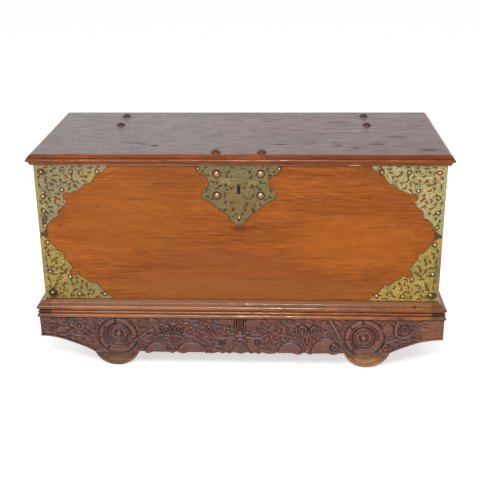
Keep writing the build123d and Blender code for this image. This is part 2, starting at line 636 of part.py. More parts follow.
# ---------------------------------------------------------------- brass mounts
def right_mount(leaf, edge, way):
    """A corner mount for the right side: the same leaf on the front and on the end board.

    edge is the level of the leaf's straight edge, and way says whether it hangs from it or stands on it.
    """
    reach = leaf[-1][1]
    across = [(-MOUNT_THICKNESS, 0.0)] + list(leaf) + [(-MOUNT_THICKNESS, reach)]
    levels = [(along, edge + way * away * LEAF_STRETCH) for along, away in across]
    front_face = outline([(HALF_WIDTH - along, z) for along, z in levels])
    side_face = outline([(FRONT + along, z) for along, z in levels])
    front_leaf = prism_y(front_face, FRONT - MOUNT_THICKNESS, FRONT)
    side_leaf = prism_x(side_face, HALF_WIDTH, HALF_WIDTH + MOUNT_THICKNESS)
    return drill(front_leaf + side_leaf, nail_holes)


for row, leaf, edge, way in (("upper", UPPER_LEAF, BODY_TOP, -1), ("lower", LOWER_LEAF, FLOOR_TOP, 1)):
    mount = right_mount(leaf, edge, way)
    save(f"{row}_right_mount", mount)
    save(f"{row}_left_mount", other_side(mount))
save("mount_nails", *mount_nails)


# ---------------------------------------------------------------- escutcheon
def escutcheon_face():
    """The shield-shaped lock plate's outline as (x, z), symmetrical about the keyhole."""
    half = ESCUTCHEON_HALF_WIDTH
    tip = BODY_TOP - ESCUTCHEON_DROP
    shoulder_point = (ESCUTCHEON_TIP_HALF, tip + ESCUTCHEON_TIP_RISE)
    bulge = (ESCUTCHEON_TIP_BULGE[0], tip + ESCUTCHEON_TIP_BULGE[1])
    steps = [[(half - inward, BODY_TOP - drop) for inward, drop in step] for step in ESCUTCHEON_EDGE]
    right, end = stepped_edge((half, BODY_TOP), steps)
    right.append(Line(end, shoulder_point))
    right.append(ThreePointArc(shoulder_point, bulge, (0, tip)))
    left = [mirror(line, about=Plane.YZ) for line in right]
    return make_face(Curve() + right + left + [Line((-half, BODY_TOP), (half, BODY_TOP))])


escutcheon = prism_y(escutcheon_face(), FRONT - MOUNT_THICKNESS, FRONT)
escutcheon = escutcheon - keyhole(FRONT - MOUNT_THICKNESS, FRONT)
save("escutcheon", drill(escutcheon, stud_holes + small_nail_holes))
save("lock_studs", *lock_studs)
save("escutcheon_nails", *escutcheon_nails)

# ---------------------------------------------------------------- lock
case_top = BODY_TOP - PLATE_THICKNESS
case = block(-LOCK_WIDTH / 2, LOCK_WIDTH / 2, LOCK_FRONT, LOCK_BACK, lock_bottom, case_top)
case = case - block(-LOCK_WIDTH / 2 + LOCK_WALL, LOCK_WIDTH / 2 - LOCK_WALL, LOCK_FRONT + LOCK_WALL,
                    LOCK_BACK, lock_bottom + LOCK_WALL, case_top)
case = case - keyhole(LOCK_FRONT, LOCK_FRONT + LOCK_WALL)
bar_low = BODY_TOP - BOLT_BAR_DROP
bar_high = bar_low + BOLT_BAR_HEIGHT
bolt_front = LOCK_MID_Y - BOLT_THICKNESS / 2
bolt_back = LOCK_MID_Y + BOLT_THICKNESS / 2
# Two ledges inside the case carry the bolt bar.
ledge_top = bar_low - BOLT_RUNNING_GAP
for side in (-1, 1):
    x = side * LEDGE_SPREAD / 2
    case = case + block(x - LEDGE_WIDTH / 2, x + LEDGE_WIDTH / 2, LOCK_FRONT + LOCK_WALL, bolt_back,
                        ledge_top - LEDGE_HEIGHT, ledge_top)
save("lock_case", drill(case, stud_holes))

tongue_half = PLATE_THICKNESS / 2
selvedge = selvedge_seat
for side in (-1, 1):
    x = side * TONGUE_SPREAD / 2
    selvedge = selvedge - block(
        x - tongue_half - TONGUE_SLOT_GAP, x + tongue_half + TONGUE_SLOT_GAP,
        LOCK_MID_Y - TONGUE_WIDTH / 2 - TONGUE_SLOT_GAP, LOCK_MID_Y + TONGUE_WIDTH / 2 + TONGUE_SLOT_GAP,
        case_top, BODY_TOP)
save("lock_selvedge", selvedge)

cover = block(-selvedge_half, selvedge_half, LOCK_BACK, LOCK_BACK + LOCK_WALL,
              lock_bottom - SELVEDGE_MARGIN, BODY_TOP)
save("lock_cover", drill(cover, stud_holes))
save("key_post", rod_y(0, KEYHOLE_Z, FRONT + KEY_POST_INSET, LOCK_BACK, KEY_POST_RADIUS))

# The bolt: a bar with a talon above the key, and two prongs that pass through the strike's tongues.
eye_z = BODY_TOP - TONGUE_LENGTH + EYE_FOOT + EYE_HEIGHT / 2
talon_low = KEYHOLE_Z + KEYHOLE_RADIUS + TALON_GAP
prong_tips = [side * TONGUE_SPREAD / 2 - tongue_half - BOLT_REST_GAP for side in (-1, 1)]
bolt = block(prong_tips[0] - BOLT_TRAVEL - BOLT_POST, prong_tips[1], bolt_front, bolt_back, bar_low, bar_high)
bolt = bolt + block(-TALON_HALF, TALON_HALF, bolt_front, bolt_back, talon_low, bar_low)
bolt = bolt - block(-TALON_NOTCH_HALF, TALON_NOTCH_HALF, bolt_front, bolt_back,
                    talon_low, talon_low + TALON_NOTCH_RISE)
for tip in prong_tips:
    root = tip - BOLT_TRAVEL
    bolt = bolt + block(root - BOLT_POST, root, bolt_front, bolt_back, bar_high, eye_z + PRONG_SECTION / 2)
    bolt = bolt + block(root, tip, LOCK_MID_Y - PRONG_SECTION / 2, LOCK_MID_Y + PRONG_SECTION / 2,
                        eye_z - PRONG_SECTION / 2, eye_z + PRONG_SECTION / 2)
save("lock_bolt", bolt)

# ---------------------------------------------------------------- strike plate and lid
strike = block(-selvedge_half, selvedge_half, LOCK_FRONT - STRIKE_MARGIN, LOCK_BACK + STRIKE_MARGIN,
               BODY_TOP, BODY_TOP + PLATE_THICKNESS)
strike_seat = strike
for side in (-1, 1):
    x = side * TONGUE_SPREAD / 2
    tongue = block(x - tongue_half, x + tongue_half, LOCK_MID_Y - TONGUE_WIDTH / 2,
                   LOCK_MID_Y + TONGUE_WIDTH / 2, BODY_TOP - TONGUE_LENGTH, BODY_TOP)
    eye = block(x - tongue_half, x + tongue_half, LOCK_MID_Y - EYE_WIDTH / 2, LOCK_MID_Y + EYE_WIDTH / 2,
                eye_z - EYE_HEIGHT / 2, eye_z + EYE_HEIGHT / 2)
    strike = strike + (tongue - eye)
lid_rivet = headed_pin(RIVET_HEAD_RADIUS, RIVET_HEAD_HEIGHT, RIVET_RADIUS, LID_THICKNESS)
lid_rivet_hole = rod_z(0, 0, -LID_THICKNESS, 0, RIVET_RADIUS + HOLE_CLEARANCE)
strike_rivet_places = [(Rot(), side * STRIKE_RIVET_SPREAD / 2, LOCK_MID_Y, LID_TOP) for side in (-1, 1)]
hinge_rivet_places = [
    (Rot(), side * HINGE_SPREAD / 2, BACK - setback, LID_TOP)
    for side in (-1, 1) for setback in LID_RIVET_SETBACKS
]
strike_holes = studs_at(strike_rivet_places, lid_rivet_hole)
hinge_holes = studs_at(hinge_rivet_places, lid_rivet_hole)
save("strike_plate", drill(strike, strike_holes))
save("strike_rivets", *studs_at(strike_rivet_places, lid_rivet))
save("hinge_lid_rivets", *studs_at(hinge_rivet_places, lid_rivet))

plank_half = HALF_WIDTH + LID_OVERHANG
plank_joint = BACK + LID_OVERHANG - LID_REAR_PLANK
strap_seats = [
    block(side * HINGE_SPREAD / 2 - STRAP_WIDTH / 2, side * HINGE_SPREAD / 2 + STRAP_WIDTH / 2,
          BACK - LID_STRAP_LENGTH, BACK + LID_OVERHANG, BODY_TOP, BODY_TOP + PLATE_THICKNESS)
    for side in (-1, 1)
]
front_plank = block(-plank_half, plank_half, FRONT - LID_OVERHANG, plank_joint, BODY_TOP, LID_TOP)
save("lid_front_plank", drill(front_plank, [strike_seat] + strike_holes))
rear_plank = block(-plank_half, plank_half, plank_joint, BACK + LID_OVERHANG, BODY_TOP, LID_TOP)
save("lid_rear_plank", drill(rear_plank, strap_seats + hinge_holes))

batten_outer = HALF_WIDTH - BOARD - BATTEN_CLEARANCE
save("lid_battens", *[
    block(min(side * batten_outer, side * (batten_outer - BATTEN_WIDTH)),
          max(side * batten_outer, side * (batten_outer - BATTEN_WIDTH)),
          FRONT + BOARD + BATTEN_CLEARANCE, BACK - BOARD - BATTEN_REAR_CLEARANCE,
          BODY_TOP - BATTEN_THICKNESS, BODY_TOP)
    for side in (-1, 1)
])

# The lid's moulding is planted on the planks' edges and laps down over the box, mitred at the corners.
lid_face = moulding_face(LID_SECTION, -LID_OVERHANG, edge=LID_OVERHANG + LID_EDGE_FLAT)
edge_y = FRONT - LID_OVERHANG
lap_z = LID_TOP - LID_MOULDING_HEIGHT
mitre_front = prism_z(outline([
    (-plank_half, edge_y), (plank_half, edge_y),
    (plank_half + LID_REACH, edge_y - LID_REACH), (-plank_half - LID_REACH, edge_y - LID_REACH),
]), lap_z, LID_TOP)
mitre_side = prism_z(outline([
    (plank_half, edge_y), (plank_half + LID_REACH, edge_y - LID_REACH),
    (plank_half + LID_REACH, BACK + LID_OVERHANG), (plank_half, BACK + LID_OVERHANG),
]), lap_z, LID_TOP)
save("lid_front_moulding", front_run(lid_face, LID_TOP, plank_half + LID_REACH) & mitre_front)
right_moulding = side_run(lid_face, LID_TOP, edge_y - LID_REACH, BACK + LID_OVERHANG) & mitre_side
save("lid_right_moulding", right_moulding)
save("lid_left_moulding", other_side(right_moulding))

# ---------------------------------------------------------------- strap hinges
pins = []
for name, side in (("left", -1), ("right", 1)):
    x = side * HINGE_SPREAD / 2
    half = STRAP_WIDTH / 2
    middle = MIDDLE_KNUCKLE / 2
    bore = rod_x(HINGE_Y, HINGE_Z, x - half, x + half, HINGE_PIN_RADIUS + HINGE_PIN_CLEARANCE)

    lid_strap = block(x - half, x + half, BACK - LID_STRAP_LENGTH, BACK + LID_OVERHANG,
                      BODY_TOP, BODY_TOP + PLATE_THICKNESS)
    lid_strap = lid_strap + block(x - middle, x + middle, BACK + LID_OVERHANG, HINGE_Y,
                                  BODY_TOP, BODY_TOP + PLATE_THICKNESS)
    lid_strap = lid_strap + rod_x(HINGE_Y, HINGE_Z, x - middle, x + middle, KNUCKLE_RADIUS)
    save(f"{name}_hinge_lid_strap", drill(lid_strap - bore, hinge_holes))

    web_top = HINGE_Z - KNUCKLE_RADIUS + PLATE_THICKNESS
    web_low = web_top - PLATE_THICKNESS
    back_strap = block(x - half, x + half, BACK, BACK + PLATE_THICKNESS,
                       BODY_TOP - BACK_STRAP_LENGTH, web_top)
    for x0, x1 in ((x - half, x - middle - KNUCKLE_GAP), (x + middle + KNUCKLE_GAP, x + half)):
        back_strap = back_strap + block(x0, x1, BACK + PLATE_THICKNESS, HINGE_Y, web_low, web_top)
        back_strap = back_strap + rod_x(HINGE_Y, HINGE_Z, x0, x1, KNUCKLE_RADIUS)
    save(f"{name}_hinge_back_strap", drill(back_strap - bore, back_rivet_holes))

    pin = rod_x(HINGE_Y, HINGE_Z, x - half, x + half, HINGE_PIN_RADIUS)
    pin = pin + rod_x(HINGE_Y, HINGE_Z, x - half - PIN_CAP_THICKNESS, x - half, PIN_CAP_RADIUS)
    pins.append(pin + rod_x(HINGE_Y, HINGE_Z, x + half, x + half + PIN_CAP_THICKNESS, PIN_CAP_RADIUS))
save("hinge_pins", *pins)

# ---------------------------------------------------------------- bail handles on the end boards
axis_x = HALF_WIDTH + HANDLE_STANDOFF
plate_half = HANDLE_PLATE_LENGTH / 2
plate_rise = HANDLE_PLATE_HEIGHT / 2
plate_flat = plate_half - HANDLE_PLATE_POINT
plate_face = outline([
    (MID_Y - plate_half, handle_z), (MID_Y - plate_flat, handle_z - plate_rise),
    (MID_Y + plate_flat, handle_z - plate_rise), (MID_Y + plate_half, handle_z),
    (MID_Y + plate_flat, handle_z + plate_rise), (MID_Y - plate_flat, handle_z + plate_rise),
])
plate = prism_x(plate_face, HALF_WIDTH, HALF_WIDTH + HANDLE_PLATE_THICKNESS)
eyes = []
for way in (-1, 1):
    y = MID_Y + way * EYE_SPREAD / 2
    plate = plate - rod_x(y, handle_z, HALF_WIDTH, HALF_WIDTH + HANDLE_PLATE_THICKNESS,
                          EYE_SHANK_RADIUS + HOLE_CLEARANCE)
    ring = rod_y(axis_x, handle_z, y - EYE_THICKNESS / 2, y + EYE_THICKNESS / 2, EYE_RADIUS)
    inner = HALF_WIDTH - BOARD
    ring = ring + rod_x(y, handle_z, inner - EYE_NUT_THICKNESS, axis_x, EYE_SHANK_RADIUS)
    ring = ring + rod_x(y, handle_z, inner - EYE_NUT_THICKNESS, inner, EYE_NUT_RADIUS)
    eyes.append(ring - rod_y(axis_x, handle_z, y - EYE_THICKNESS, y + EYE_THICKNESS,
                             BAIL_RADIUS + BAIL_CLEARANCE))
save("right_handle_plate", plate)
save("left_handle_plate", other_side(plate))
save("handle_eyes", *eyes, *[other_side(eye) for eye in eyes])

pin_reach = EYE_SPREAD / 2 - EYE_THICKNESS
leg = BAIL_LEG_SPREAD / 2
bail_path = FilletPolyline(
    (axis_x, MID_Y - pin_reach, handle_z), (axis_x, MID_Y - leg, handle_z),
    (axis_x, MID_Y - leg, handle_z - BAIL_DROP), (axis_x, MID_Y + leg, handle_z - BAIL_DROP),
    (axis_x, MID_Y + leg, handle_z), (axis_x, MID_Y + pin_reach, handle_z),
    radius=[BAIL_PIN_CORNER, BAIL_CORNER, BAIL_CORNER, BAIL_PIN_CORNER],
)
bail = sweep(Plane(bail_path @ 0, z_dir=bail_path % 0) * Circle(BAIL_RADIUS), path=bail_path)
save("right_bail", bail)
save("left_bail", other_side(bail))
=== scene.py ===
import math

import bpy
import numpy as np
from mathutils import Matrix, Vector


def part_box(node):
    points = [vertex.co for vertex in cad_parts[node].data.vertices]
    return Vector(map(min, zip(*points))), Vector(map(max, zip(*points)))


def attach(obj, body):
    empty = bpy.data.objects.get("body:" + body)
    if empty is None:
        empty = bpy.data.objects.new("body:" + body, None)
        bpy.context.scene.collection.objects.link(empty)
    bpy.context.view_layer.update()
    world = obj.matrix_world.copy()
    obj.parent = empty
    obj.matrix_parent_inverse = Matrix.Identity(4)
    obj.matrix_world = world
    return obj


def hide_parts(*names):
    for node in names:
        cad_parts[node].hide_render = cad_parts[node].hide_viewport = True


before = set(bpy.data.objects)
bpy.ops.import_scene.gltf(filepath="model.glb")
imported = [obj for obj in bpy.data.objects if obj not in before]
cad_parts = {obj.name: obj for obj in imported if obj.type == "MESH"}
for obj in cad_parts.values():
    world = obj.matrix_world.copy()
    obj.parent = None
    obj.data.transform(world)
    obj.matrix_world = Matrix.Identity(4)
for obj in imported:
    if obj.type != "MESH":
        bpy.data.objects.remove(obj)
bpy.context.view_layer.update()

# ------------------------------------------------------------------ The room
# The chest stands on a pale floor in soft studio light, and is seen from a
# little above its front. Nothing here is part of the object.

EYE = Vector((0.1186, -2.7286, 1.4007))
TURN = 0.047079
NOD = 0.370564
TILT = -0.0111405
SENSOR = 36.0
LENS = 68.0
FARTHEST = 60.0

ahead = Vector((-math.sin(TURN) * math.cos(NOD), math.cos(TURN) * math.cos(NOD), -math.sin(NOD)))
level = Vector((math.cos(TURN), math.sin(TURN), 0.0))
upright = level.cross(ahead)
across = level * math.cos(TILT) + upright * math.sin(TILT)
over = upright * math.cos(TILT) - level * math.sin(TILT)
camera = bpy.data.objects.new("camera", bpy.data.cameras.new("camera"))
camera.data.sensor_width = SENSOR
camera.data.lens = LENS
camera.data.clip_end = FARTHEST
camera.matrix_world = Matrix.Translation(EYE) @ Matrix((across, over, -ahead)).transposed().to_4x4()
bpy.context.scene.collection.objects.link(camera)
bpy.context.scene.camera = camera
bpy.context.scene.view_settings.view_transform = "Standard"

# Square soft boxes: where each stands, where it aims, how wide it is, its watts, and whether it lights the
# surfaces and shows in their gloss. The two glint lamps only put the bright bands on the mouldings.
LAMPS = {
    "key_lamp": ((-0.1, -3.0, 2.6), (0.0, -0.1, 0.35), 0.6, 68.0, True, False),
    "right_glint_lamp": ((0.05, -3.0, 2.6), (0.0, -0.1, 0.35), 0.26, 110.0, False, True),
    "left_glint_lamp": ((-1.05, -3.0, 2.6), (0.0, -0.1, 0.35), 0.26, 55.0, False, True),
    "fill_lamp": ((-2.4, -2.2, 2.0), (0.0, 0.0, 0.35), 1.8, 22.0, True, False),
    "back_lamp": ((0.6, 2.8, 2.6), (0.0, 0.0, 0.4), 1.8, 40.0, True, False),
}
for name, (place, aim, width, watts, lights, mirrored) in LAMPS.items():
    light = bpy.data.lights.new(name, "AREA")
    light.size = width
    light.energy = watts
    lamp = bpy.data.objects.new(name, light)
    towards = Vector(aim) - Vector(place)
    lamp.matrix_world = Matrix.Translation(place) @ towards.to_track_quat("-Z", "Y").to_matrix().to_4x4()
    lamp.visible_diffuse = lights
    lamp.visible_glossy = mirrored
    bpy.context.scene.collection.objects.link(lamp)

AMBIENT = 0.416


def looked_at(tree):
    """1 for what is seen directly, in gloss or through glass, and 0 for light on its way between surfaces."""
    rays = tree.nodes.new("ShaderNodeLightPath")
    seen = rays.outputs["Is Camera Ray"]
    for ray in ("Is Glossy Ray", "Is Transmission Ray"):
        either = tree.nodes.new("ShaderNodeMath")
        either.operation = "MAXIMUM"
        tree.links.new(seen, either.inputs[0])
        tree.links.new(rays.outputs[ray], either.inputs[1])
        seen = either.outputs[0]
    return seen


world = bpy.data.worlds.new("white room")
bpy.context.scene.world = world
world.use_nodes = True
sky = world.node_tree
sky.nodes.clear()
strength = sky.nodes.new("ShaderNodeMapRange")
strength.inputs["To Min"].default_value = AMBIENT
strength.inputs["To Max"].default_value = 1.0
glow = sky.nodes.new("ShaderNodeBackground")
glow.inputs["Color"].default_value = (1.0, 1.0, 1.0, 1.0)
sky.links.new(looked_at(sky), strength.inputs["Value"])
sky.links.new(strength.outputs[0], glow.inputs["Strength"])
sky.links.new(glow.outputs[0], sky.nodes.new("ShaderNodeOutputWorld").inputs["Surface"])

FLOOR_HALF = 30.0
FLOOR_WHITE = 0.86
FLOOR_LIFT = 0.62
floor_mesh = bpy.data.meshes.new("floor")
corners = [(x * FLOOR_HALF, y * FLOOR_HALF, 0.0) for x, y in ((-1, -1), (1, -1), (1, 1), (-1, 1))]
floor_mesh.from_pydata(corners, [], [(0, 1, 2, 3)])
floor = bpy.data.objects.new("floor", floor_mesh)
bpy.context.scene.collection.objects.link(floor)
paper = bpy.data.materials.new("studio paper")
paper.use_nodes = True
sheet = paper.node_tree
sheet.nodes.clear()
matt = sheet.nodes.new("ShaderNodeBsdfDiffuse")
matt.inputs["Color"].default_value = (FLOOR_WHITE, FLOOR_WHITE, FLOOR_WHITE, 1.0)
lift = sheet.nodes.new("ShaderNodeEmission")
share = sheet.nodes.new("ShaderNodeMath")
share.operation = "MULTIPLY"
share.inputs[1].default_value = FLOOR_LIFT
both = sheet.nodes.new("ShaderNodeAddShader")
sheet.links.new(looked_at(sheet), share.inputs[0])
sheet.links.new(share.outputs[0], lift.inputs["Strength"])
sheet.links.new(matt.outputs[0], both.inputs[0])
sheet.links.new(lift.outputs[0], both.inputs[1])
sheet.links.new(both.outputs[0], sheet.nodes.new("ShaderNodeOutputMaterial").inputs["Surface"])
floor.data.materials.append(paper)

# ---------------------------------------------------------------- The wheels
# Four solid teak discs, sawn from plank and turned with a shallow ring on the
# face. They turn on round axle ends, and the tread is worn dull by the floor.

MM = 0.001
STAIN_EDGE = 110.0
AO_SAMPLES = 6


def colour(red, green, blue):
    """A colour in the 0 to 255 numbers of a paint chart, as the shader's linear light."""
    linear = [c / 255 / 12.92 if c < 11 else ((c / 255 + 0.055) / 1.055) ** 2.4 for c in (red, green, blue)]
    return (*linear, 1.0)


class Finish:
    """A finish in the making: each call adds one node and hands back what comes out of it."""

    def __init__(self, name, roughness, metallic=0.0):
        self.material = bpy.data.materials.new(name)
        self.material.use_nodes = True
        self.tree = self.material.node_tree
        self.shader = self.tree.nodes["Principled BSDF"]
        self.set("Roughness", roughness)
        self.set("Metallic", metallic)

    def feed(self, socket, value):
        if isinstance(value, bpy.types.NodeSocket):
            self.tree.links.new(value, socket)
        else:
            socket.default_value = value

    def set(self, name, value):
        self.feed(self.shader.inputs[name], value)

    def node(self, kind, inputs, output=0, **settings):
        made = self.tree.nodes.new("ShaderNode" + kind)
        for key, value in settings.items():
            setattr(made, key, value)
        for key, value in inputs.items():
            self.feed(made.inputs[key], value)
        return made.outputs[output]

    def sum(self, operation, first, second=0.0):
        return self.node("Math", {0: first, 1: second}, operation=operation)

    def place(self, output="Object"):
        return self.node("TexCoord", {}, output)

    def stretched(self, scale, shift=(0.0, 0.0, 0.0)):
        return self.node("Mapping", {"Vector": self.place(), "Scale": scale, "Location": shift})

    def noise(self, where, scale, detail=4.0, roughness=0.55, distortion=0.0):
        return self.node("TexNoise", {"Vector": where, "Scale": scale, "Detail": detail,
                                      "Roughness": roughness, "Distortion": distortion}, "Fac")

    def ramp(self, value, *stops):
        """Runs through the stops, each a place from 0 to 1 and its colour or grey level."""
        made = self.tree.nodes.new("ShaderNodeValToRGB")
        while len(made.color_ramp.elements) < len(stops):
            made.color_ramp.elements.new(0.5)
        for element, (at, shade) in zip(made.color_ramp.elements, stops):
            element.position = at
            element.color = shade if isinstance(shade, tuple) else (shade, shade, shade, 1.0)
        self.tree.links.new(value, made.inputs[0])
        return made.outputs["Color"]

    def mix(self, share, first, second, kind="MIX"):
        made = self.tree.nodes.new("ShaderNodeMix")
        made.data_type = "RGBA"
        made.blend_type = kind
        self.feed(made.inputs[0], share)
        self.feed(made.inputs[6], first)
        self.feed(made.inputs[7], second)
        return made.outputs[2]

    def times(self, first, second):
        return self.mix(1.0, first, second, "MULTIPLY")

    def note(self, name):
        """A number that the mesh keeps at each of its points."""
        return self.node("Attribute", {}, "Fac", attribute_name=name)

    def hollow_shade(self, reach, samples=AO_SAMPLES):
        """1 on open faces, falling to 0 in corners and grooves narrower than the reach: the mask by which shade
        is painted.
        """
        return self.node("AmbientOcclusion", {"Distance": reach}, "AO", samples=samples)

    def wear(self, reach):
        """0 on open faces, rising to 1 on edges and corners that stand out."""
        inside = self.node("AmbientOcclusion", {"Distance": reach}, "AO", samples=AO_SAMPLES, inside=True)
        return self.sum("SUBTRACT", 1.0, inside)

    def spots(self, tone, *marks):
        """Lays ragged patches over a tone: stains and knots, and in places painted shade and highlights. Each
        has its centre, half sizes (mm), shade, strength.
        """
        for centre, half, shade, strength in marks:
            where = self.node("Mapping", {"Vector": self.place(), "Location": tuple(c * MM for c in centre),
                                          "Scale": tuple(h * MM for h in half)}, vector_type="TEXTURE")
            ball = self.node("TexGradient", {"Vector": where}, 1, gradient_type="SPHERICAL")
            rag = self.noise(self.place(), STAIN_EDGE, 4.0, 0.6)
            core = self.sum("MULTIPLY", ball, self.sum("ADD", self.sum("MULTIPLY", rag, 0.9), 0.55))
            tone = self.mix(self.ramp(core, (0.08, 0.0), (0.5, strength)), tone, shade)
        return tone

    def bump(self, height, depth, strength):
        self.set("Normal", self.node("Bump", {"Height": height, "Distance": depth, "Strength": strength}))


AXIS = {"x": 0, "y": 1, "z": 2}

# How often the year rings and the end grain's specks come; how dark the rings, pores, patches and end pores
# may make the wood; how deep the pores are, and how far in from its edges it is tinted paler as wear and as a
# painted highlight, both in metres.
RING_WAVES = 120.0
RING_SHADE = 0.16
PORE_SHADE = 0.55
PORE_DEPTH = 0.0006
PATCH_SHADE = 0.32
END_SPECKS = 240.0
END_PORE = 0.55
WORN_REACH = 0.004


def wood(name, dark, mid, light, grain="x", end=None, roughness=0.42, streak=1.0, shift=(0.0, 0.0, 0.0),
         broad_grain=(13.0, 2.6), fine_grain=(20.0, 12.0), vein=(26.0, 34.0),
         shade_reach=0.012, shade_depth=0.55, shade_tint=(1.0, 1.0, 1.0), shade_from=0.85, wear_and_highlight_tint=None,
         blotch=0.5, gloss=0.3, spots=()):
    """Sawn and oiled wood, whose figure runs along one axis and whose end grain is darker.
    Each grain has how much narrower than long its streaks are, and how many there are to the metre."""
    made = Finish(name, roughness)
    made.set("Specular IOR Level", gloss)
    along = AXIS[grain]

    def lengthwise(ratio):
        return tuple(1.0 if axis == along else ratio for axis in range(3))

    figure = made.noise(made.stretched(lengthwise(broad_grain[0]), shift), broad_grain[1], 6.0, 0.62, 0.4)
    fibre = made.noise(made.stretched(lengthwise(fine_grain[0]), shift), fine_grain[1], 6.0, 0.75, 0.2)
    broad = made.noise(made.stretched(lengthwise(4.0), shift), 1.1, 3.0, 0.5, 0.9)
    rings = made.sum("SINE", made.sum("MULTIPLY", broad, RING_WAVES))
    pores = made.noise(made.stretched(lengthwise(vein[0]), shift), vein[1], 2.0, 0.6)
    patch = made.noise(made.stretched(lengthwise(1.6), shift), 3.4, 3.0, 0.5)
    both = made.sum("ADD", made.sum("MULTIPLY", figure, 0.35), made.sum("MULTIPLY", fibre, 0.65))
    tone = made.ramp(both, (0.36, dark), (0.50, mid), (0.64, light))
    ring_shade = made.ramp(rings, (0.0, 1.0 - RING_SHADE * streak), (0.55, 1.0), (1.0, 1.0))
    tone = made.times(tone, ring_shade)
    pore_shade = made.ramp(pores, (0.30, 1.0 - PORE_SHADE * streak), (0.43, 1.0), (1.0, 1.0))
    tone = made.times(tone, pore_shade)
    patch_shade = made.ramp(patch, (0.3, 1.0 - PATCH_SHADE * blotch), (0.55, 1.0), (0.75, 1.0))
    tone = made.times(tone, patch_shade)
    if end is not None:
        turned = made.node("SeparateXYZ", {0: made.place("Normal")}, along)
        facing = made.sum("POWER", made.sum("ABSOLUTE", turned), 6.0)
        speckle = made.noise(made.place(), END_SPECKS, 3.0)
        end_pore = tuple(END_PORE * c for c in end[:3]) + (1.0,)
        tone = made.mix(facing, tone, made.mix(speckle, end, end_pore))
    # Edges that stand out are tinted paler: partly rubbed wear, partly a painted highlight.
    if wear_and_highlight_tint is not None:
        worn = made.ramp(made.wear(WORN_REACH), (0.35, 0.0), (0.7, 1.0))
        tone = made.mix(made.times(worn, (0.6, 0.6, 0.6, 1.0)), tone, wear_and_highlight_tint)
    tone = made.spots(tone, *spots)
    # Painted shade: the colour darkens in corners, grooves, holes and joints, where shade falls.
    deepest = tuple((1.0 - shade_depth) * c for c in shade_tint) + (1.0,)
    shade = made.ramp(made.hollow_shade(shade_reach), (0.25, deepest), (shade_from, 1.0))
    tone = made.times(tone, shade)
    made.set("Base Color", tone)
    made.set("Roughness", made.ramp(figure, (0.3, roughness + 0.12), (0.7, roughness)))
    made.bump(pores, PORE_DEPTH, 0.35)
    return made


def dress(finish, *nodes):
    """Gives the finish to every material slot of the CAD nodes."""
    for node in nodes:
        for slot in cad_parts[node].material_slots:
            slot.material = finish.material


BROWN_WHEEL = (colour(98, 68, 54), colour(144, 104, 82), colour(182, 136, 104))
ORANGE_WHEEL = (colour(128, 88, 58), colour(184, 132, 90), colour(216, 162, 112))
WHEELS = (("front_left_wheel", BROWN_WHEEL), ("front_right_wheel", ORANGE_WHEEL),
          ("rear_left_wheel", BROWN_WHEEL), ("rear_right_wheel", ORANGE_WHEEL))
# The wheels get painted shade in their groove and corners, and a paler tint on their edges as wear and as a
# painted highlight.
for count, (wheel, tones) in enumerate(WHEELS):
    dress(wood(wheel + " teak", *tones, shift=(0.3 * count, 0.7 * count, 0.2 * count), roughness=0.55,
               streak=1.2, shade_reach=0.01, shade_depth=0.7, wear_and_highlight_tint=colour(200, 152, 110)), wheel)

# ------------------------------------------------------ Axles and undercarriage
# Two square hardwood axles with round ends are strapped up under two bolsters.
# Flat iron straps go round both, and a washer and a linchpin keep each wheel on.

ROUGH_TIMBER = (colour(62, 38, 27), colour(104, 66, 44), colour(132, 88, 60))
ROUGH_END = colour(70, 44, 30)
dress(wood("sawn underframe timber", *ROUGH_TIMBER, grain="y", end=ROUGH_END, roughness=0.72, streak=1.4,
           shade_depth=0.6), "left_bolster", "right_bolster", "left_axle", "right_axle")

# Forged iron: how metallic it is, how fine its scale, and in metres how deep that is and how broad its
# rubbed edges are.
IRON_METALLIC = 0.75
IRON_SCALE = 90.0
IRON_DEPTH = 0.0006
IRON_EDGE = 0.0015
BARE_IRON = colour(150, 146, 140)


def iron(name, face, rust, roughness=0.55, reach=0.006, foot=0.2, foot_end=0.8):
    """Forged iron: dark scale, rubbed bright on its edges, rusty in its hollows, and darker round its foot with
    painted shade.
    """
    made = Finish(name, roughness, IRON_METALLIC)
    scale = made.noise(made.place(), IRON_SCALE, 6.0, 0.65)
    bright = tuple(1.25 * c for c in face[:3]) + (1.0,)
    tone = made.ramp(scale, (0.35, rust), (0.52, face), (0.75, bright))
    worn = made.ramp(made.wear(IRON_EDGE), (0.4, 0.0), (0.8, 0.45))
    tone = made.mix(worn, tone, BARE_IRON)
    # Painted shade round its foot and in its corners.
    tone = made.times(tone, made.ramp(made.hollow_shade(reach), (foot, 0.3), (foot_end, 1.0)))
    made.set("Base Color", tone)
    made.set("Roughness", made.ramp(scale, (0.3, roughness + 0.2), (0.7, roughness)))
    made.bump(scale, IRON_DEPTH, 0.5)
    return made


dress(iron("forged axle iron", colour(74, 70, 68), colour(92, 60, 44)),
      "axle_straps", "wheel_washers", "linchpins")

# ----------------------------------------------------- Plinth, floor and bearers
# A moulded teak plinth of four rails goes round the foot of the box. The floor
# boards lie in the box above three bearers that hold the wheels' bolsters.


def marks(y, deep, *rows):
    """Patches on a front face at y, stains and in places painted light: each row has its x and z, its half
    sizes (mm), its shade and strength.
    """
    return tuple(((x, y, z), (half_x, deep, half_z), shade, strength)
                 for x, z, half_x, half_z, shade, strength in rows)


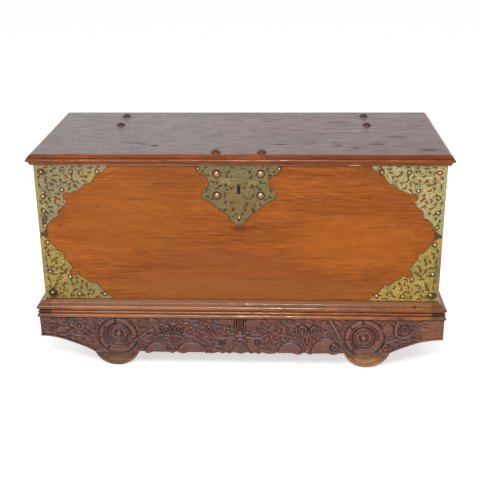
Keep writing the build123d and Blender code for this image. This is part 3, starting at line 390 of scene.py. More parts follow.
RAIL_POLISH = dict(roughness=0.12, shade_reach=0.008, shade_depth=0.55, gloss=0.34)
KNOT = colour(70, 38, 26)
# Knots; a painted highlight over the left half of the front rail; a grey painted sheen along its top slope; a
# darker strip on its top at the left.
RAIL_MARKS = (*marks(-275, 60, (478, 197, 14, 6, KNOT, 0.8), (520, 233, 10, 5, KNOT, 0.8)),
              *marks(-270, 80, (-270, 215, 330, 80, colour(164, 104, 66), 0.5)),
              *marks(-262, 30, (0, 240, 900, 14, colour(136, 106, 84), 0.62),
                     (-420, 232, 300, 8, colour(126, 92, 68), 0.5)))
# Painted shade in the dark cove of the plinth near each end.
COVE_SHADE = colour(36, 24, 22)
dress(wood("plinth teak, front", colour(116, 60, 26), colour(158, 90, 40), colour(184, 110, 54),
           spots=RAIL_MARKS, **RAIL_POLISH), "plinth_front_rail")
dress(wood("plinth teak, back", colour(120, 66, 32), colour(156, 90, 42), colour(178, 108, 54),
           shift=(2.0, 1.0, 0.0), roughness=0.45), "plinth_back_rail")
dress(wood("plinth teak, ends", colour(92, 54, 32), colour(140, 84, 44), colour(176, 110, 60), grain="y",
           end=colour(120, 72, 44), **RAIL_POLISH,
           spots=marks(-262, 60, (-590, 209, 34, 7, COVE_SHADE, 0.9), (590, 209, 34, 7, COVE_SHADE, 0.9))),
      "plinth_left_rail", "plinth_right_rail")
dress(wood("floor board teak", colour(104, 62, 36), colour(140, 88, 52), colour(164, 108, 66), roughness=0.7),
      "bottom_boards")
dress(wood("bearer timber", *ROUGH_TIMBER, grain="y", end=ROUGH_END, roughness=0.75, streak=1.4),
      "floor_bearers")

# ------------------------------------------------------------------- The aprons
# Below the plinth hang four aprons of a darker wood. The front one is carved
# all over with two rosettes, scrolls, shells and a central vase, seven or
# eight millimetres deep; the other three are plain boards.

APRON_LOW, APRON_HIGH = (tuple(c / MM for c in corner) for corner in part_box("front_apron"))

# The grid on which it is carved; the depth of the cuts and the width of the groove round a motif, both in
# millimetres; and, as shares of that depth, the ground's height and its waves, a leaf's midrib and its veins.
APRON_COLUMNS = 860
APRON_ROWS = 88
CARVED_DEPTH = 7.5
MOAT = 2.2
GROUND_LEVEL = 0.44
GROUND_WAVE = 0.18
MIDRIB = 0.28
LEAF_VEIN = 0.16


def lower_edge(node, xs):
    """The height of the board's lower edge at each x, read from the corners of its front face."""
    points = np.array([v.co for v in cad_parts[node].data.vertices]) / MM
    front = points[points[:, 1] < APRON_LOW[1] + 0.5]
    level = {}
    for x, _, z in front:
        level[round(float(x), 2)] = min(level.get(round(float(x), 2), 1e9), float(z))
    level = {x: z for x, z in level.items() if z < APRON_HIGH[2] - 5.0}
    known = sorted(level)
    return np.interp(xs, known, [level[x] for x in known])


def dome(away, radius, fall=0.8):
    """How high a rounded motif stands at each distance from its middle: 1 there, and less towards its edge."""
    return np.sqrt(np.clip(1.0 - fall * (away / radius) ** 2, 0.0, 1.0))


class Carving:
    """The carved face as heights on a grid, from 0 for the ground to 1 for the uncut face, in millimetres."""

    def __init__(self, columns, rows):
        xs = np.linspace(APRON_LOW[0], APRON_HIGH[0], columns)
        low = lower_edge("front_apron", xs)
        share = np.linspace(0.0, 1.0, rows)
        self.x = np.repeat(xs[:, None], rows, 1)
        self.z = low[:, None] + share[None, :] * (APRON_HIGH[2] - low[:, None])
        self.low = low
        swirl = np.sin(0.055 * self.x + 1.7 * np.sin(0.041 * self.z + 0.02 * self.x)) * 5.0
        self.height = GROUND_LEVEL + GROUND_WAVE * np.sin(0.42 * (self.z + swirl) + 0.16 * self.x)
        self.taken = np.zeros(self.x.shape, bool)

    def lay(self, x, reach, shape):
        """Cuts one motif: shape gives, for each point near x, how far inside it lies and its height there."""
        near = np.abs(self.x[:, 0] - x) <= reach + MOAT
        inside, height = shape(self.x[near], self.z[near])
        old = self.height[near]
        moat = old * np.clip(-inside / MOAT, 0.0, 1.0)
        self.height[near] = np.where(inside > 0.0, height, moat)
        self.taken[near] |= inside > -MOAT

    def each(self, motif, *rows):
        """Cuts the same motif once for each row of its numbers, in turn."""
        for row in rows:
            getattr(self, motif)(*row)

    def ball(self, x, z, radius, top=1.0):
        def shape(u, v):
            away = np.hypot(u - x, v - z)
            return radius - away, top * dome(away, radius)
        self.lay(x, radius, shape)

    def ring(self, x, z, radius, width, top=0.95):
        def shape(u, v):
            away = np.abs(np.hypot(u - x, v - z) - radius)
            return width - away, top * dome(away, width, 0.75)
        self.lay(x, radius + width, shape)

    def stem(self, points, width, tail=None, top=0.95):
        """A rounded stem through the points, thinning from width to tail."""
        points = np.array(points, float)
        if len(points) > 2:
            t = np.arange(len(points))
            fine = np.linspace(0, len(points) - 1, 8 * len(points))
            padded = np.vstack((2 * points[0] - points[1], points, 2 * points[-1] - points[-2]))
            k = np.clip(fine.astype(int), 0, len(points) - 2)
            f = (fine - t[k])[:, None]
            a, b, c, d = (padded[k + i] for i in range(4))
            points = 0.5 * (2 * b + (c - a) * f + (2 * a - 5 * b + 4 * c - d) * f ** 2
                            + (3 * b - a - 3 * c + d) * f ** 3)
        widths = np.linspace(width, width if tail is None else tail, len(points))
        middle = 0.5 * (points[:, 0].min() + points[:, 0].max())

        def shape(u, v):
            inside = np.full(u.shape, -1e9)
            height = np.zeros(u.shape)
            for (p, q), (wp, wq) in zip(zip(points[:-1], points[1:]), zip(widths[:-1], widths[1:])):
                step = q - p
                f = np.clip(((u - p[0]) * step[0] + (v - p[1]) * step[1]) / max(step @ step, 1e-9), 0.0, 1.0)
                away = np.hypot(u - p[0] - f * step[0], v - p[1] - f * step[1])
                half = wp + f * (wq - wp)
                better = half - away > inside
                inside = np.where(better, half - away, inside)
                height = np.where(better, top * dome(away, half), height)
            return inside, height
        self.lay(middle, 0.5 * np.ptp(points[:, 0]) + width, shape)

    def scroll(self, x, z, radius, turns, start, hand, width, top=0.95):
        """A rolled-up stem that ends in an eye at its middle."""
        angle = math.radians(start) + hand * np.linspace(0.0, 2 * math.pi * turns, int(14 * turns))
        reach = radius * np.linspace(1.0, 0.22, len(angle))
        self.ball(x, z, radius + 1.5, 0.3)
        curl = np.column_stack((x + reach * np.cos(angle), z + reach * np.sin(angle)))
        self.stem(curl, width, 0.7 * width, top)
        self.ball(x, z, 0.24 * radius, top)

    def leaf(self, x0, z0, x1, z1, width, veins=5, bend=0.0, top=0.9):
        """A pointed leaf from its base to its tip, with a midrib and slanting veins."""
        length = math.hypot(x1 - x0, z1 - z0)
        ux, uz = (x1 - x0) / length, (z1 - z0) / length

        def shape(u, v):
            t = ((u - x0) * ux + (v - z0) * uz) / length
            side = (u - x0) * -uz + (v - z0) * ux - bend * 4.0 * t * (1.0 - t)
            clipped = np.clip(t, 0.0, 1.0)
            half = width * np.sin(math.pi * clipped ** 0.8) ** 0.75
            past = np.abs(t - clipped) * length
            inside = half - np.abs(side) - past
            body = dome(side, np.maximum(half, 0.1))
            rib = MIDRIB * np.exp(-(side / 0.9) ** 2)
            vein = LEAF_VEIN * (0.5 + 0.5 * np.cos(2 * math.pi * (veins * t - 0.9 * np.abs(side) / width)))
            return inside, top * (body - rib - vein)
        self.lay(0.5 * (x0 + x1), 0.5 * abs(x1 - x0) + width + abs(bend), shape)

    def fan(self, x, z, inner, outer, start, stop, petals, top=0.9):
        """Petals side by side round a centre, from one angle to another, in degrees."""
        first, last = math.radians(start), math.radians(stop)

        def shape(u, v):
            away = np.hypot(u - x, v - z)
            angle = (np.arctan2(v - z, u - x) - first) % (2 * math.pi)
            t = angle / (last - first)
            wave = np.abs(np.sin(math.pi * petals * t))
            edge = outer - 0.1 * (outer - inner) * (1.0 - wave)
            inside = np.minimum(away - inner, edge - away)
            margin = np.minimum(angle, last - first - angle) * away
            if last - first < 2 * math.pi - 0.01:
                inside = np.minimum(inside, np.where(t > 1.0, -1e9, margin))
            swell = 0.75 + 0.25 * np.sin(math.pi * np.clip((away - inner) / (outer - inner), 0.0, 1.0))
            return inside, top * swell * (0.45 + 0.55 * np.sqrt(wave))
        self.lay(x, outer, shape)

    def shell(self, x, half, rise, bands, base, lean=0.0):
        """A low arch on the lower edge, of rounded bands one inside the other."""
        def shape(u, v):
            away = np.hypot((u - x - lean * (v - base) / rise) / half, (v - base) / rise)
            t = np.clip((1.0 - away) * bands, 0.0, bands)
            round_band = np.sqrt(np.clip(np.abs(np.sin(math.pi * t)), 0.0, 1.0))
            crown = np.where(t > bands - 1.0, 0.8, 0.5 + 0.45 * round_band)
            return (1.0 - away) * min(half, rise), crown * (1.0 - 0.1 * t / bands)
        self.lay(x, half + abs(lean), shape)

    def flower(self, x, z, radius, petals):
        self.fan(x, z, 0.3 * radius, radius, 15, 375, petals)
        self.ball(x, z, 0.36 * radius)


carving = Carving(APRON_COLUMNS, APRON_ROWS)

# Left bracket: a flower, a vine with a disc flower in a crescent, and leaves along the edge.
carving.each("leaf", (-606, 184, -584, 172, 7, 4), (-604, 150, -590, 170, 6, 4),
             (-606, 138, -574, 134, 6, 5))
carving.flower(-586, 163, 13, 5)
carving.stem(((-566, 188), (-559, 172), (-562, 156), (-576, 146)), 3.0, 2.0)
carving.each("leaf", (-566, 146, -528, 138, 10, 6, 3), (-555, 181, -537, 162, 8, 4, -3))
carving.stem(((-530, 188), (-527, 170), (-520, 152), (-508, 140)), 3.0, 2.2)
carving.each("leaf", (-524, 186, -504, 176, 6, 4), (-500, 186, -474, 180, 6, 4),
             (-560, 130, -522, 126, 5, 6))
carving.flower(-491, 159, 17, 7)
carving.each("stem", (((-517, 143), (-507, 131), (-491, 126), (-474, 128), (-464, 135)), 4.4, 2.2, 1.0),
             (((-467, 137), (-457, 128), (-444, 123)), 3.4, 2.0))
carving.each("leaf", (-467, 182, -447, 150, 9, 5, 3), (-481, 116, -446, 101, 7, 5),
             (-452, 118, -432, 92, 7, 5), (-456, 146, -440, 136, 5, 3), (-506, 119, -484, 112, 4, 4))


def rosette(x, z, boss_x, boss_z, fan_from, fan_to):
    """The great rosette: a boss, a ring of petals and a broad rolled rim, with a fan of long petals below.
    Its places and radii are in millimetres, and its fan's limits in degrees."""
    carving.ball(x, z, 61, 0.42)
    carving.ring(x, z, 51, 7.5, 0.84)
    carving.ring(x, z, 41, 2.0, 0.75)
    carving.fan(x, z, 33, 58, fan_from, fan_to, 11, 1.0)
    for spoke in (96, 141, 186, 231):
        turn = math.radians(spoke)
        ends = [(x + r * math.cos(turn), z + r * math.sin(turn)) for r in (44, 58)]
        carving.stem(ends, 0.8, 0.8, 0.1)
    carving.ball(boss_x, boss_z, 34, 0.3)
    carving.ring(boss_x, boss_z, 29, 3.0, 0.85)
    carving.fan(boss_x, boss_z, 12, 25, 0, 360, 10, 0.9)
    carving.ring(boss_x, boss_z, 12.5, 1.8, 0.9)
    carving.ball(boss_x, boss_z, 9.5, 1.0)


# Left rosette and the vine that leaves it for the first pair of small scrolls.
rosette(-374, 126, -371, 135, 222, 300)
carving.flower(-333, 116, 12, 6)
carving.each("leaf", (-330, 184, -306, 166, 8, 5), (-318, 158, -302, 142, 7, 4),
             (-306, 186, -284, 174, 6, 4))
carving.stem(((-322, 112), (-300, 128), (-281, 145), (-262, 152)), 4.2, 3.4, 1.0)
carving.each("leaf", (-281, 182, -244, 166, 9, 6, 2), (-262, 158, -243, 148, 5, 4))
carving.each("fan", (-298, 112, 5, 13, 20, 200, 4), (-272, 119, 5, 14, 15, 185, 5),
             (-244, 120, 5, 14, 0, 170, 5))
carving.shell(-257, 36, 34, 4, 71)
carving.each("leaf", (-312, 104, -296, 84, 6, 4), (-240, 188, -206, 180, 5, 6))
carving.each("scroll", (-225, 148, 15, 1.7, 200, -1, 3.0), (-188, 149, 15, 1.7, -20, 1, 3.0))
carving.flower(-199, 109, 11, 6)
carving.stem(((-210, 130), (-204, 121), (-199, 116)), 2.4)
carving.each("leaf", (-214, 96, -200, 78, 6, 4), (-198, 184, -170, 174, 6, 5), (-171, 140, -157, 164, 7, 4),
             (-150, 140, -131, 158, 7, 4), (-156, 170, -126, 184, 8, 5), (-172, 126, -130, 122, 7, 7))
carving.shell(-147, 46, 36, 4, 71, -4)
carving.each("leaf", (-121, 160, -112, 186, 6, 4), (-120, 118, -94, 128, 7, 5), (-104, 112, -80, 94, 7, 5),
             (-103, 184, -78, 172, 7, 5))
carving.ring(-95, 152, 7, 2.6)
carving.ball(-95, 152, 2.8)
carving.flower(-66, 152, 13, 6)
carving.stem(((-85, 141), (-74, 127), (-58, 121), (-40, 123), (-22, 129)), 4.2, 2.6, 1.0)
carving.fan(-46, 152, 18, 36, 52, 128, 5)
carving.ball(-36, 156, 5.5)
carving.leaf(-44, 140, -26, 144, 5, 3)

# The middle: a fluted vase on a foot, between two hoof-shaped lobes with comma eyes.
for side, hoof, eye in ((-1, -41, -56), (1, 41, 54)):
    carving.leaf(hoof - side * 16, 118, hoof + side * 6, 70, 19, 6, side * 4)
    carving.ball(eye, 107, 8, 0.5)
    carving.scroll(eye, 107, 6.5, 1.2, 90, side, 2.0)
for flute in (-12, -6, 0, 6, 12):
    carving.stem(((flute * 1.15, 186), (flute, 150)), 2.4, 2.0, 0.9)
carving.each("stem", (((-15, 187), (-13, 165), (-17, 147)), 1.8), (((15, 187), (13, 165), (17, 147)), 1.8))
carving.ball(0, 141, 8, 1.0)
carving.each("stem", (((-14, 130), (14, 130)), 4.0, 4.0, 0.9), (((-9, 121), (9, 121)), 3.0, 3.0, 0.8))
carving.fan(0, 112, 2, 44, 238, 302, 5, 0.95)
carving.stem(((-17, 112), (-6, 116), (6, 116), (17, 112)), 3.0, 3.0, 0.9)

# Right of the vase: the same vine again, a little freer.
carving.fan(36, 150, 8, 35, 40, 140, 6)
carving.ring(59, 157, 6, 2.4)
carving.ball(59, 157, 2.6)
carving.leaf(28, 138, 52, 150, 5, 4)
carving.stem(((20, 127), (38, 123), (56, 124), (72, 130), (84, 139)), 4.2, 2.6, 1.0)
carving.each("leaf", (66, 186, 84, 172, 7, 4), (88, 142, 103, 178, 10, 5, -3), (84, 128, 76, 100, 7, 4),
             (92, 130, 108, 100, 8, 5), (108, 184, 124, 166, 6, 4), (112, 140, 124, 158, 6, 4),
             (134, 134, 134, 168, 8, 5), (146, 140, 160, 162, 6, 4))
carving.stem(((104, 122), (122, 134), (140, 132), (160, 124)), 3.0, 2.2)
carving.leaf(142, 186, 166, 176, 6, 4)
carving.shell(150, 37, 40, 4, 71, 4)
carving.each("scroll", (187, 152, 17, 1.8, 160, 1, 3.2), (225, 152, 15, 1.7, 20, -1, 3.0))
carving.leaf(196, 186, 226, 178, 6, 5)
carving.stem(((190, 128), (194, 108), (204, 95), (213, 108), (214, 126)), 3.6, 3.0)
carving.each("ball", (204, 80, 7), (203, 118, 5))
carving.each("leaf", (262, 152, 252, 188, 11, 4, 2), (246, 132, 272, 152, 7, 5))
carving.shell(256, 42, 54, 6, 71, 6)
carving.scroll(286, 94, 12, 1.6, 120, -1, 3.0)
carving.stem(((270, 189), (286, 160), (306, 118)), 5.0, 3.6, 1.0)
carving.each("leaf", (280, 186, 312, 158, 8, 6, 3), (300, 186, 328, 178, 6, 5), (302, 110, 318, 88, 6, 4))

# Right rosette, the leaf and the banded scroll beyond it, and the plain end of the board.
rosette(376, 127, 374, 127, 250, 345)
carving.each("leaf", (438, 184, 426, 164, 7, 4), (450, 132, 446, 184, 17, 6, 3))
carving.stem(((476, 187), (470, 164), (470, 142), (484, 130), (503, 133), (521, 148), (531, 172), (556, 184)),
             4.6, 2.6, 1.0)
carving.scroll(494, 158, 13, 1.6, 240, 1, 3.0)
carving.leaf(505, 182, 521, 170, 7, 4)
carving.scroll(442, 96, 10, 1.3, 300, -1, 3.2)
carving.each("stem", (((440, 109), (454, 116), (474, 122)), 3.6, 2.4),
             (((462, 101), (486, 113), (512, 121)), 2.6, 1.6))
carving.each("leaf", (520, 140, 548, 128, 6, 5), (536, 166, 560, 172, 5, 5), (448, 84, 462, 97, 5, 4))


# The filling leaves: their seed, how many are tried, between which x, and their half lengths. Then, in
# millimetres, where the brackets begin, the bead and groove above their lower edge, and the plain end.
GROUND_SEED = 7
GROUND_TRIES = 1500
GROUND_ENDS = (-604, 530)
GROUND_LEAF = (4.5, 8.0)
BRACKET_FROM = 420.0
BEAD_MIDDLE = 3.0
BEAD_HALF = 3.2
GROOVE_MIDDLE = 7.5
GROOVE_HALF = 1.6
PLAIN_FROM = 545.0
PLAIN_HEIGHT = 0.86


def finish_ground(board):
    """Fills open ground with small leaves, and leaves beads on both brackets, a plain end and a plain top."""
    chance = np.random.default_rng(GROUND_SEED)
    for _ in range(GROUND_TRIES):
        x = chance.uniform(*GROUND_ENDS)
        column = int((x - APRON_LOW[0]) / (APRON_HIGH[0] - APRON_LOW[0]) * (APRON_COLUMNS - 1))
        low = board.low[column]
        z = chance.uniform(low + 8, APRON_HIGH[2] - 6)
        row = int((z - low) / (APRON_HIGH[2] - low) * (APRON_ROWS - 1))
        turn = chance.uniform(0, math.pi)
        size = chance.uniform(*GROUND_LEAF)
        if not board.taken[max(column - 3, 0):column + 4, max(row - 3, 0):row + 4].any():
            du, dv = size * math.cos(turn), size * math.sin(turn)
            board.leaf(x - du, z - dv, x + du, z + dv, 4.2, 3, 0.0, 0.8)
    above = board.z - board.low[:, None]
    bracket = np.clip((np.abs(board.x) - BRACKET_FROM) / 20.0, 0.0, 1.0)
    bead = np.sqrt(np.clip(1.0 - ((above - BEAD_MIDDLE) / BEAD_HALF) ** 2, 0.0, 1.0)) * bracket
    groove = np.clip(np.abs(above - GROOVE_MIDDLE) / GROOVE_HALF, 0.0, 1.0)
    board.height = np.maximum(board.height * (1.0 - bracket * (1.0 - groove)), bead)
    plain = np.clip((board.x - PLAIN_FROM) / 16.0, 0.0, 1.0)
    board.height = board.height * (1.0 - plain) + PLAIN_HEIGHT * plain
    board.height *= np.clip((APRON_HIGH[2] - board.z) / 3.0, 0.35, 1.0)
    board.height = np.clip(board.height, 0.0, 1.0)


finish_ground(carving)


def closed_mesh(name, points, faces, smooth_faces, **notes):
    """A mesh from points in millimetres: its first faces are smooth, each note gives every point a number."""
    mesh = bpy.data.meshes.new(name)
    mesh.from_pydata((points * MM).tolist(), [], faces)
    mesh.update()
    for note, values in notes.items():
        mesh.attributes.new(note, "FLOAT", "POINT").data.foreach_set("value", values.astype(np.float32))
    smooth = np.zeros(len(mesh.polygons), bool)
    smooth[:smooth_faces] = True
    mesh.polygons.foreach_set("use_smooth", smooth)
    return mesh


def carved_board(board):
    """Turns the heights into a closed board, whose back and edges are those of the CAD node."""
    columns, rows = board.x.shape
    front, back = APRON_LOW[1], APRON_HIGH[1]
    depth = front + CARVED_DEPTH * (1.0 - board.height)
    face = np.stack((board.x, depth, board.z), -1).reshape(-1, 3)
    rear = [(board.x[i, 0], back, board.z[i, j]) for i in range(columns) for j in (0, -1)]
    count = columns * rows
    i, j = (a.ravel() for a in np.meshgrid(np.arange(columns - 1), np.arange(rows - 1), indexing="ij"))
    first = i * rows + j
    quads = np.stack((first, first + rows, first + rows + 1, first + 1), -1).tolist()
    carved_faces = len(quads)
    for k in range(columns - 1):
        low, high = count + 2 * k, count + 2 * k + 1
        quads.append((low, high, high + 2, low + 2))
        quads.append((k * rows, low, low + 2, (k + 1) * rows))
        quads.append((k * rows + rows - 1, (k + 1) * rows + rows - 1, high + 2, high))
    last = (columns - 1) * rows
    ends = [[*range(rows), count + 1, count],
            [*range(last + rows - 1, last - 1, -1), count + 2 * columns - 2, count + 2 * columns - 1]]
    relief = np.concatenate((board.height.ravel(), np.ones(len(rear))))
    points = np.vstack((face, rear))
    return closed_mesh("carved_front_apron", points, quads + ends, carved_faces, relief=relief)


def piece(name, mesh, finish, body, slot, *nodes):
    """Puts a mesh in the scene as a piece that rides on a body and stands for the CAD nodes."""
    mesh.materials.append(finish.material)
    made = bpy.data.objects.new(name, mesh)
    bpy.context.scene.collection.objects.link(made)
    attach(made, body)
    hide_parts(*nodes)
    return made


# How the bare right end begins, as slope and offset along x in metres, and how much paler a band right of the
# middle is made.
BARE_END = (8.0, -4.1)
PALER_MIDDLE = 0.24


def carved_finish():
    """Old carved wood, purple-brown: the cuts painted black as shade and dust, the high places paler as a
    painted highlight and wear.
    """
    made = Finish("carved rosewood", 0.4)
    made.set("Specular IOR Level", 0.3)
    relief = made.note("relief")
    grain = made.noise(made.stretched((1.0, 10.0, 10.0)), 26.0, 5.0, 0.6)
    patch = made.noise(made.place(), 26.0, 5.0, 0.7)
    red = made.mix(made.ramp(patch, (0.34, 0.0), (0.66, 1.0)), colour(88, 71, 70), colour(144, 76, 52))
    # From the carving's heights: painted shade deep in the cuts and a painted highlight on the highest places.
    tone = made.ramp(relief, (0.0, colour(22, 14, 15)), (0.35, colour(68, 47, 43)),
                     (0.75, colour(98, 68, 60)), (0.9, colour(108, 77, 69)), (1.0, colour(150, 118, 108)))
    body = made.ramp(relief, (0.1, 0.0), (0.45, 0.75), (0.85, 0.75), (1.0, 0.1))
    tone = made.mix(body, tone, red)
    tone = made.times(tone, made.ramp(grain, (0.3, 0.6), (0.6, 1.0)))
    # Painted shade in the narrow cuts.
    shade = made.ramp(made.hollow_shade(0.008, 8), (0.3, 0.2), (0.8, 1.0))
    tone = made.times(tone, shade)
    place = made.node("SeparateXYZ", {0: made.place()}, 0)
    towards_end = made.sum("ADD", made.sum("MULTIPLY", place, BARE_END[0]), BARE_END[1])
    bare = made.ramp(towards_end, (0.0, 0.0), (0.35, 1.0))
    streaks = made.ramp(made.noise(made.stretched((1.0, 7.0, 7.0)), 30.0, 4.0), (0.36, colour(66, 38, 30)),
                        (0.5, colour(122, 74, 50)), (0.66, colour(146, 88, 54)))
    tone = made.mix(made.times(bare, (0.75, 0.75, 0.75, 1.0)), tone, streaks)
    # Paler in a band right of the middle.
    paler_band = made.ramp(made.sum("ADD", place, 0.1), (0.0, 0.0), (0.3, 1.0), (0.55, 1.0), (0.62, 0.3))
    tone = made.times(tone, made.sum("ADD", made.sum("MULTIPLY", paler_band, PALER_MIDDLE), 1.0))
    made.set("Base Color", tone)
    made.bump(grain, 0.0005, 0.4)
    return made


piece("carved_front_apron", carved_board(carving), carved_finish(), "carcass", "carved_rosewood",
      "front_apron")
PLAIN_ROSEWOOD = (colour(60, 38, 32), colour(94, 62, 50), colour(122, 82, 64))
dress(wood("plain apron rosewood, ends", *PLAIN_ROSEWOOD, grain="y", end=colour(70, 46, 36), roughness=0.5),
      "left_apron", "right_apron")
dress(wood("plain apron rosewood, rear", *PLAIN_ROSEWOOD, roughness=0.5, shift=(1.0, 3.0, 0.0)), "rear_apron")
dress(wood("corner block timber", *ROUGH_TIMBER, grain="z", end=ROUGH_END, roughness=0.75), "corner_blocks")

# ---------------------------------------------------------------- The box boards
# Four wide teak boards, dovetailed at the corners: the end boards' pins show on
# the front and back. The front is oiled and rubbed to a warm orange.

FRONT_TEAK = (colour(126, 62, 20), colour(161, 86, 29), colour(184, 104, 41))
FRONT_FACE = -251
FRONT_VEIN = colour(112, 52, 24)
FRONT_VEINS = (
    (-120, 464, 84), (-190, 442, 110), (-90, 428, 120), (150, 452, 90), (300, 520, 110), (-300, 562, 80),
    (230, 382, 130), (-330, 352, 90), (60, 310, 120), (410, 478, 60), (-210, 610, 70), (330, 604, 60),
)
FRONT_MARKS = marks(
    FRONT_FACE, 90,
    (-150, 640, 230, 60, colour(134, 70, 30), 0.5),
    (2, 472, 34, 12, colour(92, 44, 24), 0.75),
    (34, 476, 44, 6, colour(112, 52, 26), 0.7),
    (-60, 330, 360, 120, colour(138, 72, 38), 0.45),
    (-527, 480, 15, 4.5, colour(112, 54, 34), 0.8),
    (-414, 538, 14, 4.5, colour(112, 54, 34), 0.8),
    (-376, 484, 10, 4, colour(112, 54, 34), 0.8),
    (440, 562, 60, 10, colour(136, 62, 28), 0.5),
    (-330, 500, 260, 150, colour(160, 92, 32), 0.45),
    (0, 280, 640, 50, colour(152, 98, 46), 0.4),
    (340, 430, 260, 120, colour(180, 98, 28), 0.5),
    *((x, z, half, 2.4, FRONT_VEIN, 0.6) for x, z, half in FRONT_VEINS))
# Painted shade, tinted red, darkens the wood in the holes of the brass and along its joints.
dress(wood("front board teak", *FRONT_TEAK, roughness=0.42, streak=0.75, vein=(36.0, 8.0), shade_reach=0.006,
           shade_depth=0.85, shade_tint=(1.0, 0.75, 0.8), shade_from=0.96, blotch=0.45, gloss=0.13,
           broad_grain=(9.0, 3.2), fine_grain=(14.0, 20.0), spots=FRONT_MARKS), "front_board")
dress(wood("back board teak", colour(120, 72, 38), colour(146, 90, 50), colour(166, 108, 62), roughness=0.6,
           shift=(0.0, 4.0, 2.0)), "back_board")
END_TEAK = (colour(126, 72, 36), colour(152, 90, 46), colour(170, 106, 58))
for shift, node in ((1.0, "left_end_board"), (5.0, "right_end_board")):
    dress(wood(node.replace("_", " ") + " teak", *END_TEAK, grain="y", end=colour(98, 54, 34),
               shift=(shift, 0.0, shift), roughness=0.4, shade_reach=0.006, shade_depth=0.6), node)

# -------------------------------------------------------------- The corner mounts
# Four pierced brass plates, each folded round a front corner. The comma-shaped
# holes are cut with a chisel, and the edges of the openings are chased with a line.

# In millimetres: the sheet's thickness, and at its edges; the grid on which it is cut; how far in its edges are
# rounded; the gap under it; the fold's outer radius, and how far the outline is carried past the fold.
PLATE = 1.5
PLATE_EDGE = 1.05
PLATE_CELL = 1.5
EDGE_ROUNDING = 2.6
UNDER_GAP = 0.05
FOLD = 2.5
PAST_FOLD = 60.0

# Each opening of a leaf: how far along from the corner, and away from the straight edge, its slant, its
# length and its half width.
UPPER_HOLES = (
    (34, 30, 60, 8, 2.2), (49, 30, 120, 8, 2.2), (77, 27, 100, 7, 1.8), (86, 28, 80, 7, 1.8),
    (84, 16, 0, 11, 1.7), (58, 18, 10, 9, 2.0), (163, 18, 20, 9, 2.2), (186, 16, 160, 10, 2.0),
    (63, 41, 0, 13, 2.0), (92, 43, 70, 9, 2.2), (57, 57, 45, 12, 2.6), (87, 62, 0, 11, 2.2),
    (110, 56, 50, 10, 2.2), (100, 67, 120, 8, 2.2), (115, 74, 40, 9, 2.0), (98, 81, 150, 8, 2.0),
    (130, 32, 75, 9, 2.3), (138, 43, 20, 8, 2.2), (149, 46, 110, 8, 2.0), (127, 62, 45, 7, 2.0),
    (144, 57, 30, 7, 1.9), (31, 51, 100, 9, 2.2), (33, 63, 60, 8, 2.2), (33, 77, 110, 9, 2.2),
    (46, 85, 40, 9, 2.2), (12, 74, 90, 9, 2.0), (28, 101, 60, 9, 2.3), (38, 113, 110, 9, 2.2),
    (62, 111, 30, 13, 3.0), (52, 122, 100, 7, 2.0), (29, 125, 60, 9, 2.2), (38, 137, 20, 10, 2.3),
    (61, 131, 80, 7, 2.0), (43, 152, 50, 9, 2.2), (12, 147, 90, 13, 1.6), (23, 171, 100, 8, 2.1),
    (12, 179, 80, 7, 1.8), (15, 189, 60, 6, 1.6), (112, 15, 0, 9, 1.8), (136, 14, 0, 9, 1.8),
    (34, 15, 0, 9, 1.8), (66, 96, 0, 9, 2.2), (12, 122, 90, 9, 1.8), (75, 56, 90, 7, 2.0),
    (108, 40, 100, 8, 2.0), (48, 68, 0, 9, 2.2), (160, 31, 0, 8, 2.0), (28, 155, 60, 7, 1.9),
    (12, 46, 90, 9, 1.8),
)
LOWER_HOLES = (
    (13, 164, 60, 9, 1.9), (24, 156, 40, 8, 2.0), (21, 143, 110, 8, 2.1), (12, 134, 90, 11, 1.6),
    (46, 136, 60, 9, 2.2), (41, 121, 120, 9, 2.2), (66, 114, 30, 8, 2.0), (27, 107, 0, 11, 2.2),
    (55, 103, 70, 9, 2.2), (41, 98, 110, 8, 2.2), (69, 93, 45, 12, 2.9), (31, 83, 30, 9, 2.2),
    (14, 67, 90, 9, 2.0), (51, 71, 0, 13, 1.7), (39, 60, 90, 7, 2.0), (37, 48, 45, 11, 2.4),
    (55, 44, 120, 8, 2.1), (64, 52, 40, 8, 2.1), (16, 44, 90, 8, 2.0), (31, 36, 20, 8, 2.0),
    (63, 30, 0, 15, 1.9), (48, 19, 60, 9, 2.0), (36, 15, 120, 8, 2.0), (58, 9, 0, 9, 1.6),
    (89, 49, 50, 9, 2.2), (100, 56, 110, 8, 2.1), (99, 70, 20, 10, 2.2), (116, 58, 60, 9, 2.2),
    (128, 47, 100, 8, 2.1), (111, 40, 90, 9, 2.1), (92, 30, 40, 12, 2.8), (79, 15, 90, 9, 2.0),
    (137, 30, 70, 8, 2.1), (131, 17, 45, 9, 2.1), (149, 25, 90, 11, 1.6), (117, 12, 0, 9, 1.7),
    (161, 9, 0, 10, 1.6), (12, 112, 90, 9, 1.8), (90, 12, 0, 7, 1.6), (82, 65, 100, 8, 2.0),
    (32, 128, 60, 8, 2.0), (45, 33, 90, 7, 1.9), (152, 9, 90, 4, 1.5), (171, 20, 30, 7, 1.8),
    (55, 84, 30, 9, 2.1),
)

